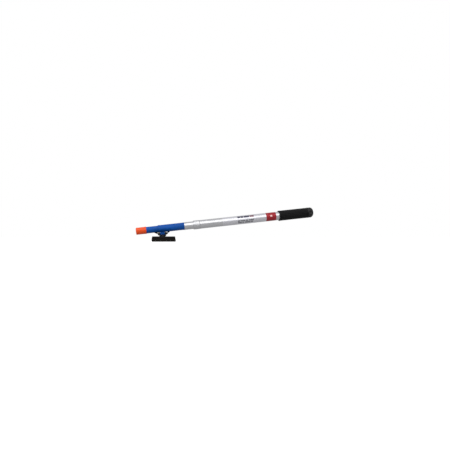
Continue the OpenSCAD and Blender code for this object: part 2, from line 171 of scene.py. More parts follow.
def rounded_outline(width, length, corner, spacing=6 * MM, steps=5):
    """Points of a rounded rectangle about the origin, with long sides split at the spacing."""
    points = []
    for quarter, (sx, sy) in enumerate(((1, 1), (-1, 1), (-1, -1), (1, -1))):
        centre = Vector((sx * (width / 2 - corner), sy * (length / 2 - corner)))
        for k in range(steps + 1):
            angle = (quarter + k / steps) * RIGHT_ANGLE
            points.append(centre + corner * Vector((math.cos(angle), math.sin(angle))))
    split = []
    for here, there in zip(points, points[1:] + points[:1]):
        cuts = max(1, round((there - here).length / spacing))
        split += [here.lerp(there, k / cuts) for k in range(cuts)]
    return split


# ---------------------------------------------------------------- reliefs cut into turned solids

def rib_relief(count, depth):
    """Grooves between rounded ribs that run along the axis."""
    return lambda x, angle: depth * (1 - abs(math.cos(count * angle / 2)) ** 0.7)


def hex_relief(radius):
    """What is cut off a round bar of that radius to leave a hexagon."""
    def relief(x, angle):
        from_flat = (angle % (FULL_TURN / 6)) - FULL_TURN / 12
        return radius * (1 - math.cos(FULL_TURN / 12) / math.cos(from_flat))
    return relief


def cross_relief(radius, web):
    """What is left of a round recess of that radius between the arms of a cross."""
    return lambda x, angle: (radius - web) * (1 - abs(math.cos(2 * angle)) ** 5)


def thread_relief(x, angle):
    """What a right-hand thread along the axis cuts from its bar."""
    turn = (x / THREAD_PITCH - angle / FULL_TURN) % 1
    return THREAD_DEPTH * abs(2 * turn - 1)


# ---------------------------------------------------------------- solids

def skin(rings, hollow=False):
    """Mesh through rings with the same number of points, capped, or joined end to end if hollow."""
    solid = bmesh.new()
    loops = [[solid.verts.new(point) for point in ring] for ring in rings]
    pairs = list(zip(loops, loops[1:]))
    if hollow:
        pairs.append((loops[-1], loops[0]))
    else:
        solid.faces.new(loops[0][::-1])
        solid.faces.new(loops[-1])
    for low, high in pairs:
        for i in range(len(low)):
            j = (i + 1) % len(low)
            solid.faces.new((low[i], low[j], high[j], high[i]))
    bmesh.ops.recalc_face_normals(solid, faces=solid.faces)
    return solid


def full_corner(x, radius, rounding=0, share=0):
    """A corner for turned() with what it leaves out filled in. The share is that of the relief."""
    return x, radius, rounding, share


def turned(corners, sides=64, relief=None, hollow=False, steps=5):
    """Solid turned about X through corners that full_corner() can fill in."""
    angles = [FULL_TURN * k / sides for k in range(sides)]
    rings = []
    for x, radius, share in rounded_path([full_corner(*corner) for corner in corners], steps=steps):
        ring = []
        for angle in angles:
            r = radius - share * relief(x, angle) if share else radius
            ring.append((x, r * math.cos(angle), r * math.sin(angle)))
        rings.append(ring)
    return skin(rings, hollow)


def rod(start, end, radius, core, rounding=0):
    """Plain rod along X. Its flat ends begin at the core radius."""
    return turned([(start, core), (start, radius, rounding), (end, radius, rounding), (end, core)])


def slab(width, length, corner, layers, centre=(0, 0)):
    """Upright slab with rounded corners through (height, inset) layers."""
    rings = []
    for z, inset in layers:
        outline = rounded_outline(width - 2 * inset, length - 2 * inset, max(corner - inset, 0.2 * MM))
        rings.append([(p.x + centre[0], p.y + centre[1], z) for p in outline])
    return skin(rings)


def plank(outline, start, end, across="X"):
    """Outline pushed along X from start to end, with (y, z) points, or along Y with (x, z) points."""
    if across == "X":
        return skin([[(x, p[0], p[1]) for p in outline] for x in (start, end)])
    return skin([[(p[0], y, p[1]) for p in outline] for y in (start, end)])


def thread_corners(start, end, radius, rings_per_turn=6):
    """Corners for turned() along a threaded stretch."""
    count = math.ceil((end - start) / THREAD_PITCH * rings_per_turn)
    return [(start + (end - start) * k / count, radius, 0, 1) for k in range(count + 1)]


def socket_bolt(length, head, thread_length):
    """Socket-head bolt along X with its head's top at 0."""
    head_radius = 4.4 * MM
    shank = THREAD_RADIUS
    socket = 1.75 * MM
    socket_depth = 1.7 * MM
    hexagon = hex_relief(socket)
    plain = length - thread_length
    corners = [
        (socket_depth, 0.1 * MM),
        (socket_depth, socket, 0, 1),
        (0.15 * MM, socket, 0, 1),
        (0, socket + 0.25 * MM),
        (0, head_radius * 0.7, 0.5 * MM),
        (head * 0.45, head_radius, 0.6 * MM),
        (head, head_radius, 0.2 * MM),
        (head, shank),
        (plain, shank),
        *thread_corners(plain, length - 0.5 * MM, shank),
        (length, shank - 0.6 * MM),
    ]
    return turned(corners, sides=48,
                  relief=lambda x, angle: (hexagon if x < head else thread_relief)(x, angle))


def lock_nut(thickness):
    """Hexagon nut along X with a round insert collar, its bearing face at 0."""
    bore = 2.4 * MM
    corner = 4.62 * MM
    flat = 3.9 * MM
    chamfer = 0.35 * MM
    collar = 0.9 * MM
    corners = [
        (0, bore),
        (0, flat),
        (chamfer, corner, 0, 1),
        (thickness - collar - chamfer, corner, 0, 1),
        (thickness - collar, flat),
        (thickness, flat - 0.2 * MM, 0.3 * MM),
        (thickness, bore),
    ]
    return turned(corners, sides=72, relief=hex_relief(corner), hollow=True)


def flat_washer(thickness):
    """Washer along X, its seat at 0."""
    rim = 5 * MM
    corners = [
        (0, THREAD_RADIUS),
        (0, rim, 0.15 * MM),
        (thickness, rim, 0.25 * MM),
        (thickness, THREAD_RADIUS),
    ]
    return turned(corners, hollow=True, steps=3)


# ---------------------------------------------------------------- joining and carving

def moved(solid, place):
    """The same solid, put in its place."""
    solid.transform(place)
    return solid


def gathered(solids):
    """One mesh that holds all the solids."""
    whole = bmesh.new()
    for solid in solids:
        mesh = bpy.data.meshes.new("part")
        solid.to_mesh(mesh)
        solid.free()
        whole.from_mesh(mesh)
        bpy.data.meshes.remove(mesh)
    return whole


def bench_piece(solid, name):
    """A short-lived object that holds a solid while modifiers work on it."""
    mesh = bpy.data.meshes.new(name)
    solid.to_mesh(mesh)
    solid.free()
    piece = bpy.data.objects.new(name, mesh)
    bpy.context.scene.collection.objects.link(piece)
    return piece


def taken_off_bench(piece, *helpers):
    """The solid that the piece's modifiers leave. The piece and its helpers are thrown away."""
    graph = bpy.context.evaluated_depsgraph_get()
    result = bmesh.new()
    result.from_object(piece, graph)
    for used in (piece, *helpers):
        mesh = used.data
        bpy.data.objects.remove(used)
        bpy.data.meshes.remove(mesh)
    return result


def combined(solid, tools, operation):
    """The solid after an exact boolean with each tool: UNION, DIFFERENCE or INTERSECT."""
    piece = bench_piece(solid, "work")
    helpers = []
    for tool in tools:
        helper = bench_piece(tool, "tool")
        step = piece.modifiers.new("step", "BOOLEAN")
        step.operation = operation
        step.solver = "EXACT"
        step.object = helper
        helpers.append(helper)
    return taken_off_bench(piece, *helpers)


def moulded(solids, grain, passes):
    """Overlapping solids run together into one, with corners softened as a mould leaves them."""
    piece = bench_piece(gathered(solids), "work")
    fuse = piece.modifiers.new("fuse", "REMESH")
    fuse.mode = "VOXEL"
    fuse.voxel_size = grain
    soften = piece.modifiers.new("soften", "SMOOTH")
    soften.factor = 0.5
    soften.iterations = passes
    return taken_off_bench(piece)


# ---------------------------------------------------------------- placing pieces

def shade(mesh, crease):
    """Smooth shading that keeps edges sharper than the crease angle."""
    mesh.shade_smooth()
    mesh.set_sharp_from_angle(angle=math.radians(crease))


def add_piece(name, solid, body, finish, stands_for=(), crease=35):
    """Puts a finished solid in the scene, riding on its body."""
    mesh = bpy.data.meshes.new(name)
    bmesh.ops.recalc_face_normals(solid, faces=solid.faces)
    solid.to_mesh(mesh)
    solid.free()
    shade(mesh, crease)
    mesh.materials.append(finish)
    piece = bpy.data.objects.new(name, mesh)
    bpy.context.scene.collection.objects.link(piece)
    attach(piece, body)
    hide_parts(*stands_for)
    return piece


def finish_node(node, finish):
    """Gives a CAD node its finish."""
    piece = frame["nodes"][node]
    piece.data.materials.clear()
    piece.data.materials.append(finish)


# ---------------------------------------------------------------- finishes

class Finish:
    """A node material under construction."""

    def __init__(self, name, colour, roughness, metallic=0.0, specular=0.5):
        self.material = bpy.data.materials.new(name)
        self.material.use_nodes = True
        self.tree = self.material.node_tree
        self.shader = self.tree.nodes["Principled BSDF"]
        self.shader.inputs["Base Color"].default_value = (*colour, 1)
        self.shader.inputs["Roughness"].default_value = roughness
        self.shader.inputs["Metallic"].default_value = metallic
        self.shader.inputs["Specular IOR Level"].default_value = specular
        self.surface = None

    def node(self, kind, **settings):
        made = self.tree.nodes.new(kind)
        for setting, value in settings.items():
            setattr(made, setting, value)
        return made

    def feed(self, source, target):
        """Links a socket to an input, or sets the input to a plain value."""
        if isinstance(source, bpy.types.NodeSocket):
            self.tree.links.new(source, target)
        else:
            target.default_value = source

    def place(self, stretch=(1, 1, 1)):
        """Position in the object's own frame, squeezed along each axis by stretch."""
        where = self.node("ShaderNodeTexCoord").outputs["Object"]
        mapping = self.node("ShaderNodeMapping")
        mapping.inputs["Scale"].default_value = stretch
        self.feed(where, mapping.inputs["Vector"])
        return mapping.outputs["Vector"]

    def pole_place(self, stretch=(1, 1, 1)):
        """Position in the pole's own frame, from its axis, squeezed along each axis by stretch."""
        where = self.node("ShaderNodeTexCoord").outputs["Object"]
        onto_pole = self.node("ShaderNodeMapping", vector_type="TEXTURE")
        onto_pole.inputs["Location"].default_value = POLE_AXIS.to_translation()
        onto_pole.inputs["Rotation"].default_value = POLE_AXIS.to_euler()
        self.feed(where, onto_pole.inputs["Vector"])
        mapping = self.node("ShaderNodeMapping")
        mapping.inputs["Scale"].default_value = stretch
        self.feed(onto_pole.outputs["Vector"], mapping.inputs["Vector"])
        return mapping.outputs["Vector"]

    def cloud(self, scale, detail, where=None):
        """Soft noise from 0 to 1, with scale waves to the metre and detail finer layers."""
        where = where or self.place()
        texture = self.node("ShaderNodeTexNoise")
        texture.inputs["Scale"].default_value = scale
        texture.inputs["Detail"].default_value = detail
        self.feed(where, texture.inputs["Vector"])
        return texture.outputs["Fac"]

    def cells(self, scale):
        """Distance from the middle of each of many small cells, scale of them to the metre."""
        where = self.place()
        texture = self.node("ShaderNodeTexVoronoi")
        texture.inputs["Scale"].default_value = scale
        self.feed(where, texture.inputs["Vector"])
        return texture.outputs["Distance"]

    def math(self, operation, first, second=0.0):
        node = self.node("ShaderNodeMath", operation=operation)
        self.feed(first, node.inputs[0])
        self.feed(second, node.inputs[1])
        return node.outputs[0]

    def spread(self, value, low, high, start=0.0, end=1.0):
        """The value's range from low to high, spread over start to end."""
        node = self.node("ShaderNodeMapRange")
        self.feed(value, node.inputs["Value"])
        for socket, number in zip(("From Min", "From Max", "To Min", "To Max"), (low, high, start, end)):
            node.inputs[socket].default_value = number
        return node.outputs["Result"]

    def between(self, value, low, high):
        """1 where the value lies between low and high, and 0 elsewhere."""
        above = self.math("GREATER_THAN", value, low)
        below = self.math("LESS_THAN", value, high)
        return self.math("MULTIPLY", above, below)

    def blend(self, share, first, second):
        """Mix of two colours, each a socket or a plain colour."""
        node = self.node("ShaderNodeMix", data_type="RGBA")
        self.feed(share, node.inputs["Factor"])
        for colour, socket in ((first, node.inputs[6]), (second, node.inputs[7])):
            self.feed(colour if isinstance(colour, bpy.types.NodeSocket) else (*colour, 1), socket)
        return node.outputs[2]

    def mottled(self, share, colour, dark, light):
        """The colour, going from a darker to a lighter tint of it with the share."""
        return self.blend(share, tinted(colour, dark), tinted(colour, light))

    def paint(self, colour):
        self.feed(colour, self.shader.inputs["Base Color"])

    def dull(self, roughness):
        self.feed(roughness, self.shader.inputs["Roughness"])

    def emboss(self, height, distance, strength):
        """Adds a fine relief to the surface, on top of what is there already."""
        bump = self.node("ShaderNodeBump")
        bump.inputs["Strength"].default_value = strength
        bump.inputs["Distance"].default_value = distance
        self.feed(height, bump.inputs["Height"])
        if self.surface is not None:
            self.feed(self.surface, bump.inputs["Normal"])
        self.surface = bump.outputs["Normal"]
        self.feed(self.surface, self.shader.inputs["Normal"])

    def edges(self, low, high):
        """1 along outer edges, and 0 on flat and hollow ground."""
        pointiness = self.node("ShaderNodeNewGeometry").outputs["Pointiness"]
        return self.spread(pointiness, low, high)


def tinted(colour, share):
    """The colour made lighter by a share above 1, or darker by one below."""
    return tuple(min(1.0, channel * share) for channel in colour)


def drawn_aluminium(name, colour, roughness):
    """Anodised tube with die lines along it, faint rub marks round it and handling smudges."""
    finish = Finish(name, colour, roughness, metallic=1.0)
    lines = finish.cloud(14, 3, finish.pole_place((3, 260, 260)))
    rubs = finish.cloud(3, 2, finish.pole_place((420, 14, 14)))
    smudges = finish.cloud(26, 3, finish.pole_place())
    tone = finish.spread(lines, 0.3, 0.7)
    finish.paint(finish.mottled(tone, colour, 0.86, 1.12))
    worn = finish.math("ADD", finish.spread(smudges, 0.35, 0.7, -0.05, 0.1),
                       finish.spread(rubs, 0.55, 0.7, 0.0, 0.08))
    finish.dull(finish.math("ADD", worn, roughness))
    finish.emboss(lines, 0.02 * MM, 0.35)
    finish.emboss(rubs, 0.02 * MM, 0.15)
    return finish.material


def grip_rubber(name, colour, gloss):
    """Moulded rubber: a fine sand-blasted skin, greyed where hands polish it."""
    finish = Finish(name, colour, 0.5, specular=gloss)
    skin_grain = finish.cloud(2600, 4)
    patches = finish.cloud(60, 3)
    wear = finish.math("MULTIPLY", finish.edges(0.5, 0.56), finish.spread(patches, 0.4, 0.65))
    finish.paint(finish.blend(wear, colour, tinted(colour, 3.6)))
    finish.dull(finish.spread(patches, 0.3, 0.7, 0.4, 0.55))
    finish.emboss(skin_grain, 0.05 * MM, 0.4)
    return finish.material


def moulded_plastic(name, colour, roughness, grain=0.3, specular=0.5, worn=1.0):
    """Injection moulding with a spark-eroded grain, slightly uneven gloss and scuffed edges."""
    finish = Finish(name, colour, roughness, specular=specular)
    texture = finish.cells(1800)
    flow = finish.cloud(22, 3, finish.place((1, 3, 3)))
    fine = finish.cloud(900, 3)
    body = finish.mottled(finish.spread(flow, 0.35, 0.65), colour, 0.85, 1.15)
    scuffs = finish.math("MULTIPLY", finish.edges(0.53, 0.62), finish.spread(fine, 0.45, 0.6))
    finish.paint(finish.blend(finish.math("MULTIPLY", scuffs, 0.5 * worn), body, tinted(colour, 3.0)))
    finish.dull(finish.spread(flow, 0.3, 0.7, roughness * 0.85, roughness * 1.2))
    finish.emboss(texture, 0.04 * MM, grain)
    return finish.material


def soft_vinyl(name, colour):
    """Dipped vinyl: smooth, slightly waxy, darker where it is dusty."""
    finish = Finish(name, colour, 0.34, specular=0.25)
    finish.shader.inputs["Subsurface Weight"].default_value = 0.12
    finish.shader.inputs["Subsurface Scale"].default_value = 0.002
    waves = finish.cloud(140, 2)
    dust = finish.cloud(420, 5)
    finish.paint(finish.blend(finish.spread(dust, 0.45, 0.8), colour, tinted(colour, 0.86)))
    finish.dull(finish.spread(dust, 0.3, 0.7, 0.28, 0.46))
    finish.emboss(waves, 0.15 * MM, 0.3)
    return finish.material


def stove_enamel(name, colour, roughness, bare):
    """Sprayed enamel with orange peel, dusty in patches and nicked here and there."""
    finish = Finish(name, colour, roughness, specular=0.14)
    peel = finish.cloud(700, 2)
    tone = finish.cloud(18, 3)
    nicks = finish.cloud(520, 5)
    handled = finish.cloud(35, 2)
    nicked = finish.math("MULTIPLY", finish.spread(nicks, 0.7, 0.74), finish.spread(handled, 0.5, 0.6))
    coat = finish.mottled(finish.spread(tone, 0.35, 0.65), colour, 0.88, 1.15)
    finish.paint(finish.blend(nicked, coat, bare))
    finish.dull(finish.spread(peel, 0.3, 0.7, roughness * 0.9, roughness * 1.15))
    finish.emboss(peel, 0.03 * MM, 0.35)
    return finish.material


def zinc_plate(name, colour):
    """Bright zinc with passivation clouds."""
    finish = Finish(name, colour, 0.32, metallic=1.0)
    clouds = finish.cloud(260, 4)
    warm = (colour[0] * 1.1, colour[1] * 1.02, colour[2] * 0.86)
    finish.paint(finish.blend(finish.spread(clouds, 0.4, 0.62), colour, warm))
    finish.dull(finish.spread(clouds, 0.3, 0.7, 0.24, 0.42))
    finish.emboss(finish.cloud(1900, 3), 0.01 * MM, 0.4)
    return finish.material


def black_oxide(name, colour):
    """Oiled black oxide on steel."""
    finish = Finish(name, colour, 0.42, metallic=0.6)
    film = finish.cloud(500, 4)
    rub = finish.math("MULTIPLY", finish.edges(0.54, 0.64), finish.spread(film, 0.45, 0.6))
    finish.paint(finish.blend(rub, colour, tinted(colour, 5.0)))
    finish.dull(finish.spread(film, 0.3, 0.7, 0.34, 0.52))
    finish.emboss(film, 0.01 * MM, 0.5)
    return finish.material


def closed_cell_foam(name, colour):
    """Cut foam: small open cells, painted darker in their pits as shade and lighter on the rims between them."""
    finish = Finish(name, colour, 0.9, specular=0.2)
    cells = finish.cells(1100)
    big_cells = finish.cells(420)
    # painted shade: the middle of each cell, its pit, is painted darker and its rim lighter
    painted_pit_shade = finish.spread(cells, 0.1, 0.5)
    finish.paint(finish.mottled(painted_pit_shade, colour, 0.45, 1.7))
    finish.emboss(cells, 0.35 * MM, 0.7)
    finish.emboss(big_cells, 0.3 * MM, 0.3)
    return finish.material


def abrasive_grit(name, colour):
    """Silicon carbide grit on a cloth back: sharp grains in dark glue, each with a painted glint at its tip."""
    finish = Finish(name, colour, 0.62, specular=0.12)
    grains = finish.cells(2300)
    clumps = finish.cloud(170, 4)
    brown = (colour[0] * 1.7, colour[1] * 1.3, colour[2] * 1.1)
    glue = finish.blend(finish.spread(clumps, 0.4, 0.62), colour, brown)
    # painted highlight: a light spot in the middle of each grain cell stands for light caught on the grain's tip
    painted_grain_glint = finish.spread(grains, 0.12, 0.0)
    finish.paint(finish.blend(painted_grain_glint, glue, tinted(colour, 5.0)))
    finish.dull(finish.spread(grains, 0.0, 0.4, 0.38, 0.8))
    finish.emboss(grains, 0.25 * MM, 0.9)
    return finish.material


def label_print(name, colours):
    """Printed film round the tube: plain bars in two lines, on a pale silvery ground."""
    finish = Finish(name, colours.label, 0.34, metallic=0.8, specular=0.4)
    start, _, radius = round_span("label_wrap")
    position = finish.pole_place()
    split = finish.node("ShaderNodeSeparateXYZ")
    finish.feed(position, split.inputs["Vector"])
    along = finish.math("SUBTRACT", split.outputs["X"], start)
    height = finish.math("DIVIDE", split.outputs["Z"], radius)
    front = finish.math("LESS_THAN", split.outputs["Y"], 0.0)

    def bars(low, high, spans):
        """Bars in one printed line: spans along the film, in mm from its start."""
        line = finish.math("MULTIPLY", finish.between(height, low, high), front)
        total = 0.0
        for first, last in spans:
            total = finish.math("ADD", finish.between(along, first * MM, last * MM), total)
        return finish.math("MULTIPLY", total, line)

    scuffs = finish.cloud(90, 4, finish.pole_place((0.6, 1, 1)))
    ground = finish.blend(finish.spread(scuffs, 0.35, 0.7), colours.label, tinted(colours.label, 0.93))
    name_line = bars(0.42, 0.84, ((56, 66), (67.5, 79), (80.5, 101)))
    accent_line = bars(0.42, 0.84, ((103, 120),))
    upper_line = bars(-0.36, -0.1, ((56, 64), (66, 84), (86, 96), (99, 118)))
    lower_line = bars(-0.72, -0.48, ((56, 71), (73, 80), (83, 104), (106, 115)))
    printed = finish.blend(name_line, ground, colours.label_print)
    printed = finish.blend(accent_line, printed, colours.label_accent)
    small = finish.math("ADD", upper_line, lower_line)
    printed = finish.blend(small, printed, colours.label_small)
    rim = finish.between(along, 0.0, 1.2 * MM)
    finish.paint(finish.blend(rim, printed, tinted(colours.label, 1.2)))
    finish.dull(finish.spread(scuffs, 0.3, 0.7, 0.26, 0.38))
    finish.emboss(scuffs, 0.01 * MM, 0.15)
    return finish.material


def badge_print(name, colours):
    """Red film with a plain pale bar in its middle."""
    finish = Finish(name, colours.badge, 0.34, metallic=0.3, specular=0.3)
    start, end, _ = round_span("label_badge")
    split = finish.node("ShaderNodeSeparateXYZ")
    finish.feed(finish.pole_place(), split.inputs["Vector"])
    along = finish.math("SUBTRACT", split.outputs["X"], (start + end) / 2)
    wide = finish.between(along, -4 * MM, 4 * MM)
    tall = finish.between(split.outputs["Z"], -1 * MM, 6 * MM)
    scuffs = finish.cloud(90, 4, finish.pole_place((0.6, 1, 1)))
    red = finish.blend(finish.spread(scuffs, 0.35, 0.7), colours.badge, tinted(colours.badge, 0.85))
    finish.paint(finish.blend(finish.math("MULTIPLY", wide, tall), red, colours.badge_mark))
    finish.dull(finish.spread(scuffs, 0.3, 0.7, 0.26, 0.38))
    finish.emboss(scuffs, 0.01 * MM, 0.15)
    return finish.material


def natural_nylon(name, colour):
    """Turned nylon, faintly see-through."""
    finish = Finish(name, colour, 0.45)
    finish.shader.inputs["Subsurface Weight"].default_value = 0.2
    finish.shader.inputs["Subsurface Scale"].default_value = 0.001
    tone = finish.cloud(300, 3)
    finish.paint(finish.mottled(tone, colour, 0.88, 1.05))
    finish.emboss(tone, 0.02 * MM, 0.4)
    return finish.material


def shared(build, slot, colour, **settings):
    """The finish of a slot, made the first time that a piece asks for it."""
    name = f"{slot}_finish"
    return bpy.data.materials.get(name) or build(name, colour, **settings)


def plate_enamel(colours):
    return shared(stove_enamel, "plate_black", colours.enamel, roughness=0.42, bare=colours.bare)


def zinc_steel(colours):
    return shared(zinc_plate, "zinc_steel", colours.zinc)


def dark_plastic(colours):
    return shared(moulded_plastic, "dark_plastic", colours.plastic, roughness=0.5)


def yoke_plastic(colours):
    return shared(moulded_plastic, "yoke_black", colours.yoke, roughness=0.5, grain=0.5,
                  specular=BLACK_SHINE)


# ---------------------------------------------------------------- what a user would change

def length_setting(name, description, default):
    return FloatProperty(name=name, description=description, default=default,
                         min=0.0, unit="LENGTH", precision=5)


def angle_setting(name, description, degrees):
    return FloatProperty(name=name, description=description, default=math.radians(degrees),
                         subtype="ANGLE")


def amount_setting(name, description, default):
    return FloatProperty(name=name, description=description, default=default, min=0.0)


def count_setting(name, description, default, low, high):
    return IntProperty(name=name, description=description, default=default, min=low, max=high)


def colour_setting(name, description, default):
    return FloatVectorProperty(name=name, description=description, default=default, size=3,
                               min=0.0, max=1.0, subtype="COLOR")


class SanderSizes(PropertyGroup):
    """Counts and sizes of the fine shapes that the CAD model leaves out"""

    rib_count: count_setting("Grip ribs", "Ribs round the grip", 20, 8, 40)
    rib_depth: length_setting("Rib depth", "Depth of the grooves between the grip's ribs", 1.2 * MM)
    knurl_count: count_setting("Collar flutes", "Flutes round the lock collar", 44, 12, 80)
    knurl_depth: length_setting("Flute depth", "Depth of the lock collar's flutes", 0.22 * MM)
    lobe_count: count_setting("Thumb nut lobes", "Lobes round each thumb nut", 16, 6, 32)
    lobe_depth: length_setting("Lobe depth", "Depth of the gaps between a thumb nut's lobes", 0.7 * MM)
    mould_grain: length_setting("Mould grain", "Cell size at which the moulded parts are fused", 0.45 * MM)
    sheet_thickness: length_setting("Sheet thickness", "Thickness of the abrasive sheet", 0.4 * MM)
    sheet_bend: length_setting("Sheet bend", "Radius at which the sheet turns round the pad", 1.6 * MM)
    foam_bulge: length_setting("Foam bulge", "How far the foam's sides stand out under load", 0.35 * MM)


class SanderColours(PropertyGroup):
    """Colour of each material"""

    tube: colour_setting("Tubes", "Anodised aluminium of the tubes", (0.60, 0.603, 0.61))
    collar: colour_setting("Lock collar", "Aluminium of the lock collar", (0.58, 0.583, 0.59))
    head: colour_setting("Head", "Blue of the barrel and the nose", (0.006, 0.075, 0.33))
    cap: colour_setting("End cap", "Orange of the end cap", (0.80, 0.085, 0.012))
    rubber: colour_setting("Grip", "Rubber of the grip", (0.005, 0.005, 0.0052))
    yoke: colour_setting("Yoke", "Black of the yoke", (0.008, 0.010, 0.013))
    enamel: colour_setting("Plate", "Enamel of the plate, the bracket and the clamps", (0.008, 0.0075, 0.008))
    bare: colour_setting("Bare metal", "Metal that shows where enamel has worn off", (0.42, 0.42, 0.43))
    foam: colour_setting("Foam", "Foam of the pad", (0.010, 0.010, 0.011))
    grit: colour_setting("Abrasive", "Grit of the abrasive sheet", (0.006, 0.0054, 0.005))
    collet: colour_setting("Collet", "Grey plastic of the collet in the lock", (0.36, 0.36, 0.37))
    plastic: colour_setting("Dark plastic", "Plugs and thumb nuts", (0.014, 0.014, 0.015))
    nylon: colour_setting("Nylon", "Bushes", (0.72, 0.69, 0.58))
    zinc: colour_setting("Zinc", "Zinc-plated fasteners", (0.55, 0.55, 0.54))
    oxide: colour_setting("Black oxide", "Swivel bolts and nuts", (0.02, 0.02, 0.022))
    label: colour_setting("Label", "Ground of the printed film", (0.66, 0.66, 0.69))
    label_print: colour_setting("Label print", "Dark bars on the label", (0.085, 0.085, 0.12))
    label_accent: colour_setting("Label accent", "Rosy bar on the label", (0.26, 0.15, 0.17))
    label_small: colour_setting("Small print", "Thin bars on the label", (0.17, 0.175, 0.19))
    badge: colour_setting("Badge", "Red badge", (0.34, 0.018, 0.026))
    badge_mark: colour_setting("Badge mark", "Pale bar on the badge", (0.70, 0.46, 0.44))
    floor: colour_setting("Floor", "Floor of the stage", (0.48, 0.48, 0.48))


class SanderStage(PropertyGroup):
    """Camera, floor and light"""

    camera_lens: FloatProperty(name="Lens", description="Focal length in millimetres", default=32.0, min=1.0)
    camera_place: FloatVectorProperty(name="Camera", description="Place of the camera", size=3,
                                      default=(-47 * MM, -1480 * MM, 18 * MM), subtype="TRANSLATION")
    camera_heading: angle_setting("Heading", "Turn of the view from +Y towards +X", 10.65)
    camera_rise: angle_setting("Rise", "How far the view looks up", 1.63)
    floor_size: length_setting("Floor size", "Width of the floor", 80.0)
    floor_drop: length_setting("Floor drop", "Room under the sheet, so that the head can swing", 130 * MM)
    floor_glow: amount_setting("Floor glow", "How white the floor looks by itself, lighting nothing", 0.8)
    sun_strength: amount_setting("Key light", "Strength of the soft key light", 0.6)
    strip_power: amount_setting("Strip light", "Power of the strip light in front", 6.0)
    sky: amount_setting("Surround", "Brightness of the pale surround on the object", 0.7)


# ---------------------------------------------------------------- the pieces

def hang_hole_x():
    """Station of the hang hole along the pole."""
    hole = next(mount for mount in frame["record"]["mounts"] if mount["name"] == "hang_hole")
    return (INTO_POLE @ Vector(hole["pos_m"])).x


def grip_sleeve_solid(sizes):
    """Ribbed sleeve of the grip: a rolled mouth, then ribs that fade out into a plain band."""
    start, end, flange = round_span("grip")
    ribs = flange - 0.5 * MM
    bore = radius_of("outer_tube") + 0.05 * MM
    back = end - KNOB_LENGTH
    corners = [
        (start, bore, 0.4 * MM),
        (start, flange, 1.3 * MM),
        (start + 5 * MM, flange, 1.3 * MM),
        (start + 6.2 * MM, ribs - 1.1 * MM, 0.6 * MM),
        (start + 7.6 * MM, ribs, 0.5 * MM),
        (start + 9 * MM, ribs),
        (start + 10 * MM, ribs, 0, 0.6),
        (start + 11.5 * MM, ribs, 0, 1),
        (back - 6.5 * MM, ribs, 0, 1),
        (back - 5 * MM, ribs, 0, 0.6),
        (back - 4 * MM, ribs),
        (back - 1.6 * MM, ribs, 0.5 * MM),
        (back - 0.8 * MM, ribs - 0.9 * MM, 0.4 * MM),
        (back + 0.4 * MM, ribs - 0.9 * MM),
        (back + 0.4 * MM, bore),
    ]
    relief = rib_relief(sizes.rib_count, sizes.rib_depth)
    return turned(corners, sides=sizes.rib_count * 14, relief=relief, hollow=True)


def dish_cutter(radius):
    """Ball that leaves a shallow dish where it cuts a surface."""
    point = 0.01 * MM
    rounding = radius - point
    return turned([
        (-radius, point),
        (-radius, radius, rounding),
        (radius, radius, rounding),
        (radius, point),
    ], steps=16)


def grip_knob_solid():
    """Rounded knob at the grip's end, with a flared hang hole down it and a dish in each side."""
    _, end, flange = round_span("grip")
    knob = flange - 0.1 * MM
    front = end - KNOB_LENGTH
    body = turned([
        (front, 1 * MM),
        (front, knob - 1.1 * MM),
        (front + 0.4 * MM, knob, 0.8 * MM),
        (end, knob, 12 * MM),
        (end, 1 * MM),
    ], sides=128, steps=10)
    reach = 25 * MM
    throat = 17.5 * MM
    hole = 4 * MM
    flare = 7.5 * MM
    cutter = turned([
        (-reach, flare),
        (-throat, hole, hole),
        (throat, hole, hole),
        (reach, flare),
    ])
    cutters = [moved(cutter, upright(hang_hole_x(), 0, 0))]
    ball = 14 * MM
    dish_depth = 2.4 * MM
    for side in (-1, 1):
        centre = (hang_hole_x(), side * (knob + ball - dish_depth), 0)
        cutters.append(moved(dish_cutter(ball), Matrix.Translation(centre)))
    solid = combined(body, cutters, "DIFFERENCE")
    for face in solid.faces:
        face.material_index = 1
    return solid


def lock_collar_solid(sizes):
    """Fluted collar with plain chamfered rims."""
    start, end, radius = round_span("lock_collar")
    bore = radius_of("inner_tube") + 0.25 * MM
    rim = 3.4 * MM
    fade = 0.6 * MM
    corners = [
        (start, bore, 0.2 * MM),
        (start, radius, 0.7 * MM),
        (start + rim, radius),
        (start + rim + fade, radius, 0, 1),
        (end - rim - fade, radius, 0, 1),
        (end - rim, radius),
        (end, radius, 0.7 * MM),
        (end, bore + 1 * MM),
    ]
    sleeve = turned(corners, sides=sizes.knurl_count * 10, hollow=True,
                    relief=rib_relief(sizes.knurl_count, sizes.knurl_depth))
    return moved(sleeve, POLE_AXIS)


def screw_places():
    """Stations along the pole of the screws on the barrel's top."""
    low, high = pole_box("barrel_screws")
    head = round((high.y - low.y) / 2, 6)
    return low.x + head, high.x - head


def barrel_solid():
    """Turned barrel with a bead at each end and a sunk seat for each screw."""
    low, high = pole_box("head_barrel")
    start = low.x
    end = pole_box("inner_tube")[0].x
    bead = (high.y - low.y) / 2
    radius = bead - BEAD_RISE
    nose = radius_of("nose_tube")
    bead_length = 5 * MM
    step = 0.6 * MM
    corners = [
        (start + 6 * MM, nose - 1 * MM),
        (start, nose - 1 * MM),
        (start, bead, 0.9 * MM),
        (start + bead_length, bead, 0.3 * MM),
        (start + bead_length + step, radius, 0.5 * MM),
        (end - bead_length - step, radius, 0.5 * MM),
        (end - bead_length, bead, 0.3 * MM),
        (end, bead, 0.9 * MM),
        (end, nose - 2 * MM),
    ]
    body = turned(corners, sides=96)
    seats = []
    for x in screw_places():
        seat = turned([
            (radius - 1.6 * MM, 3.5 * MM),
            (radius - 0.4 * MM, 3.5 * MM),
            (radius + 2 * MM, 5 * MM),
        ])
        seats.append(moved(seat, upright(x, 0, 0)))
    return moved(combined(body, seats, "DIFFERENCE"), POLE_AXIS)


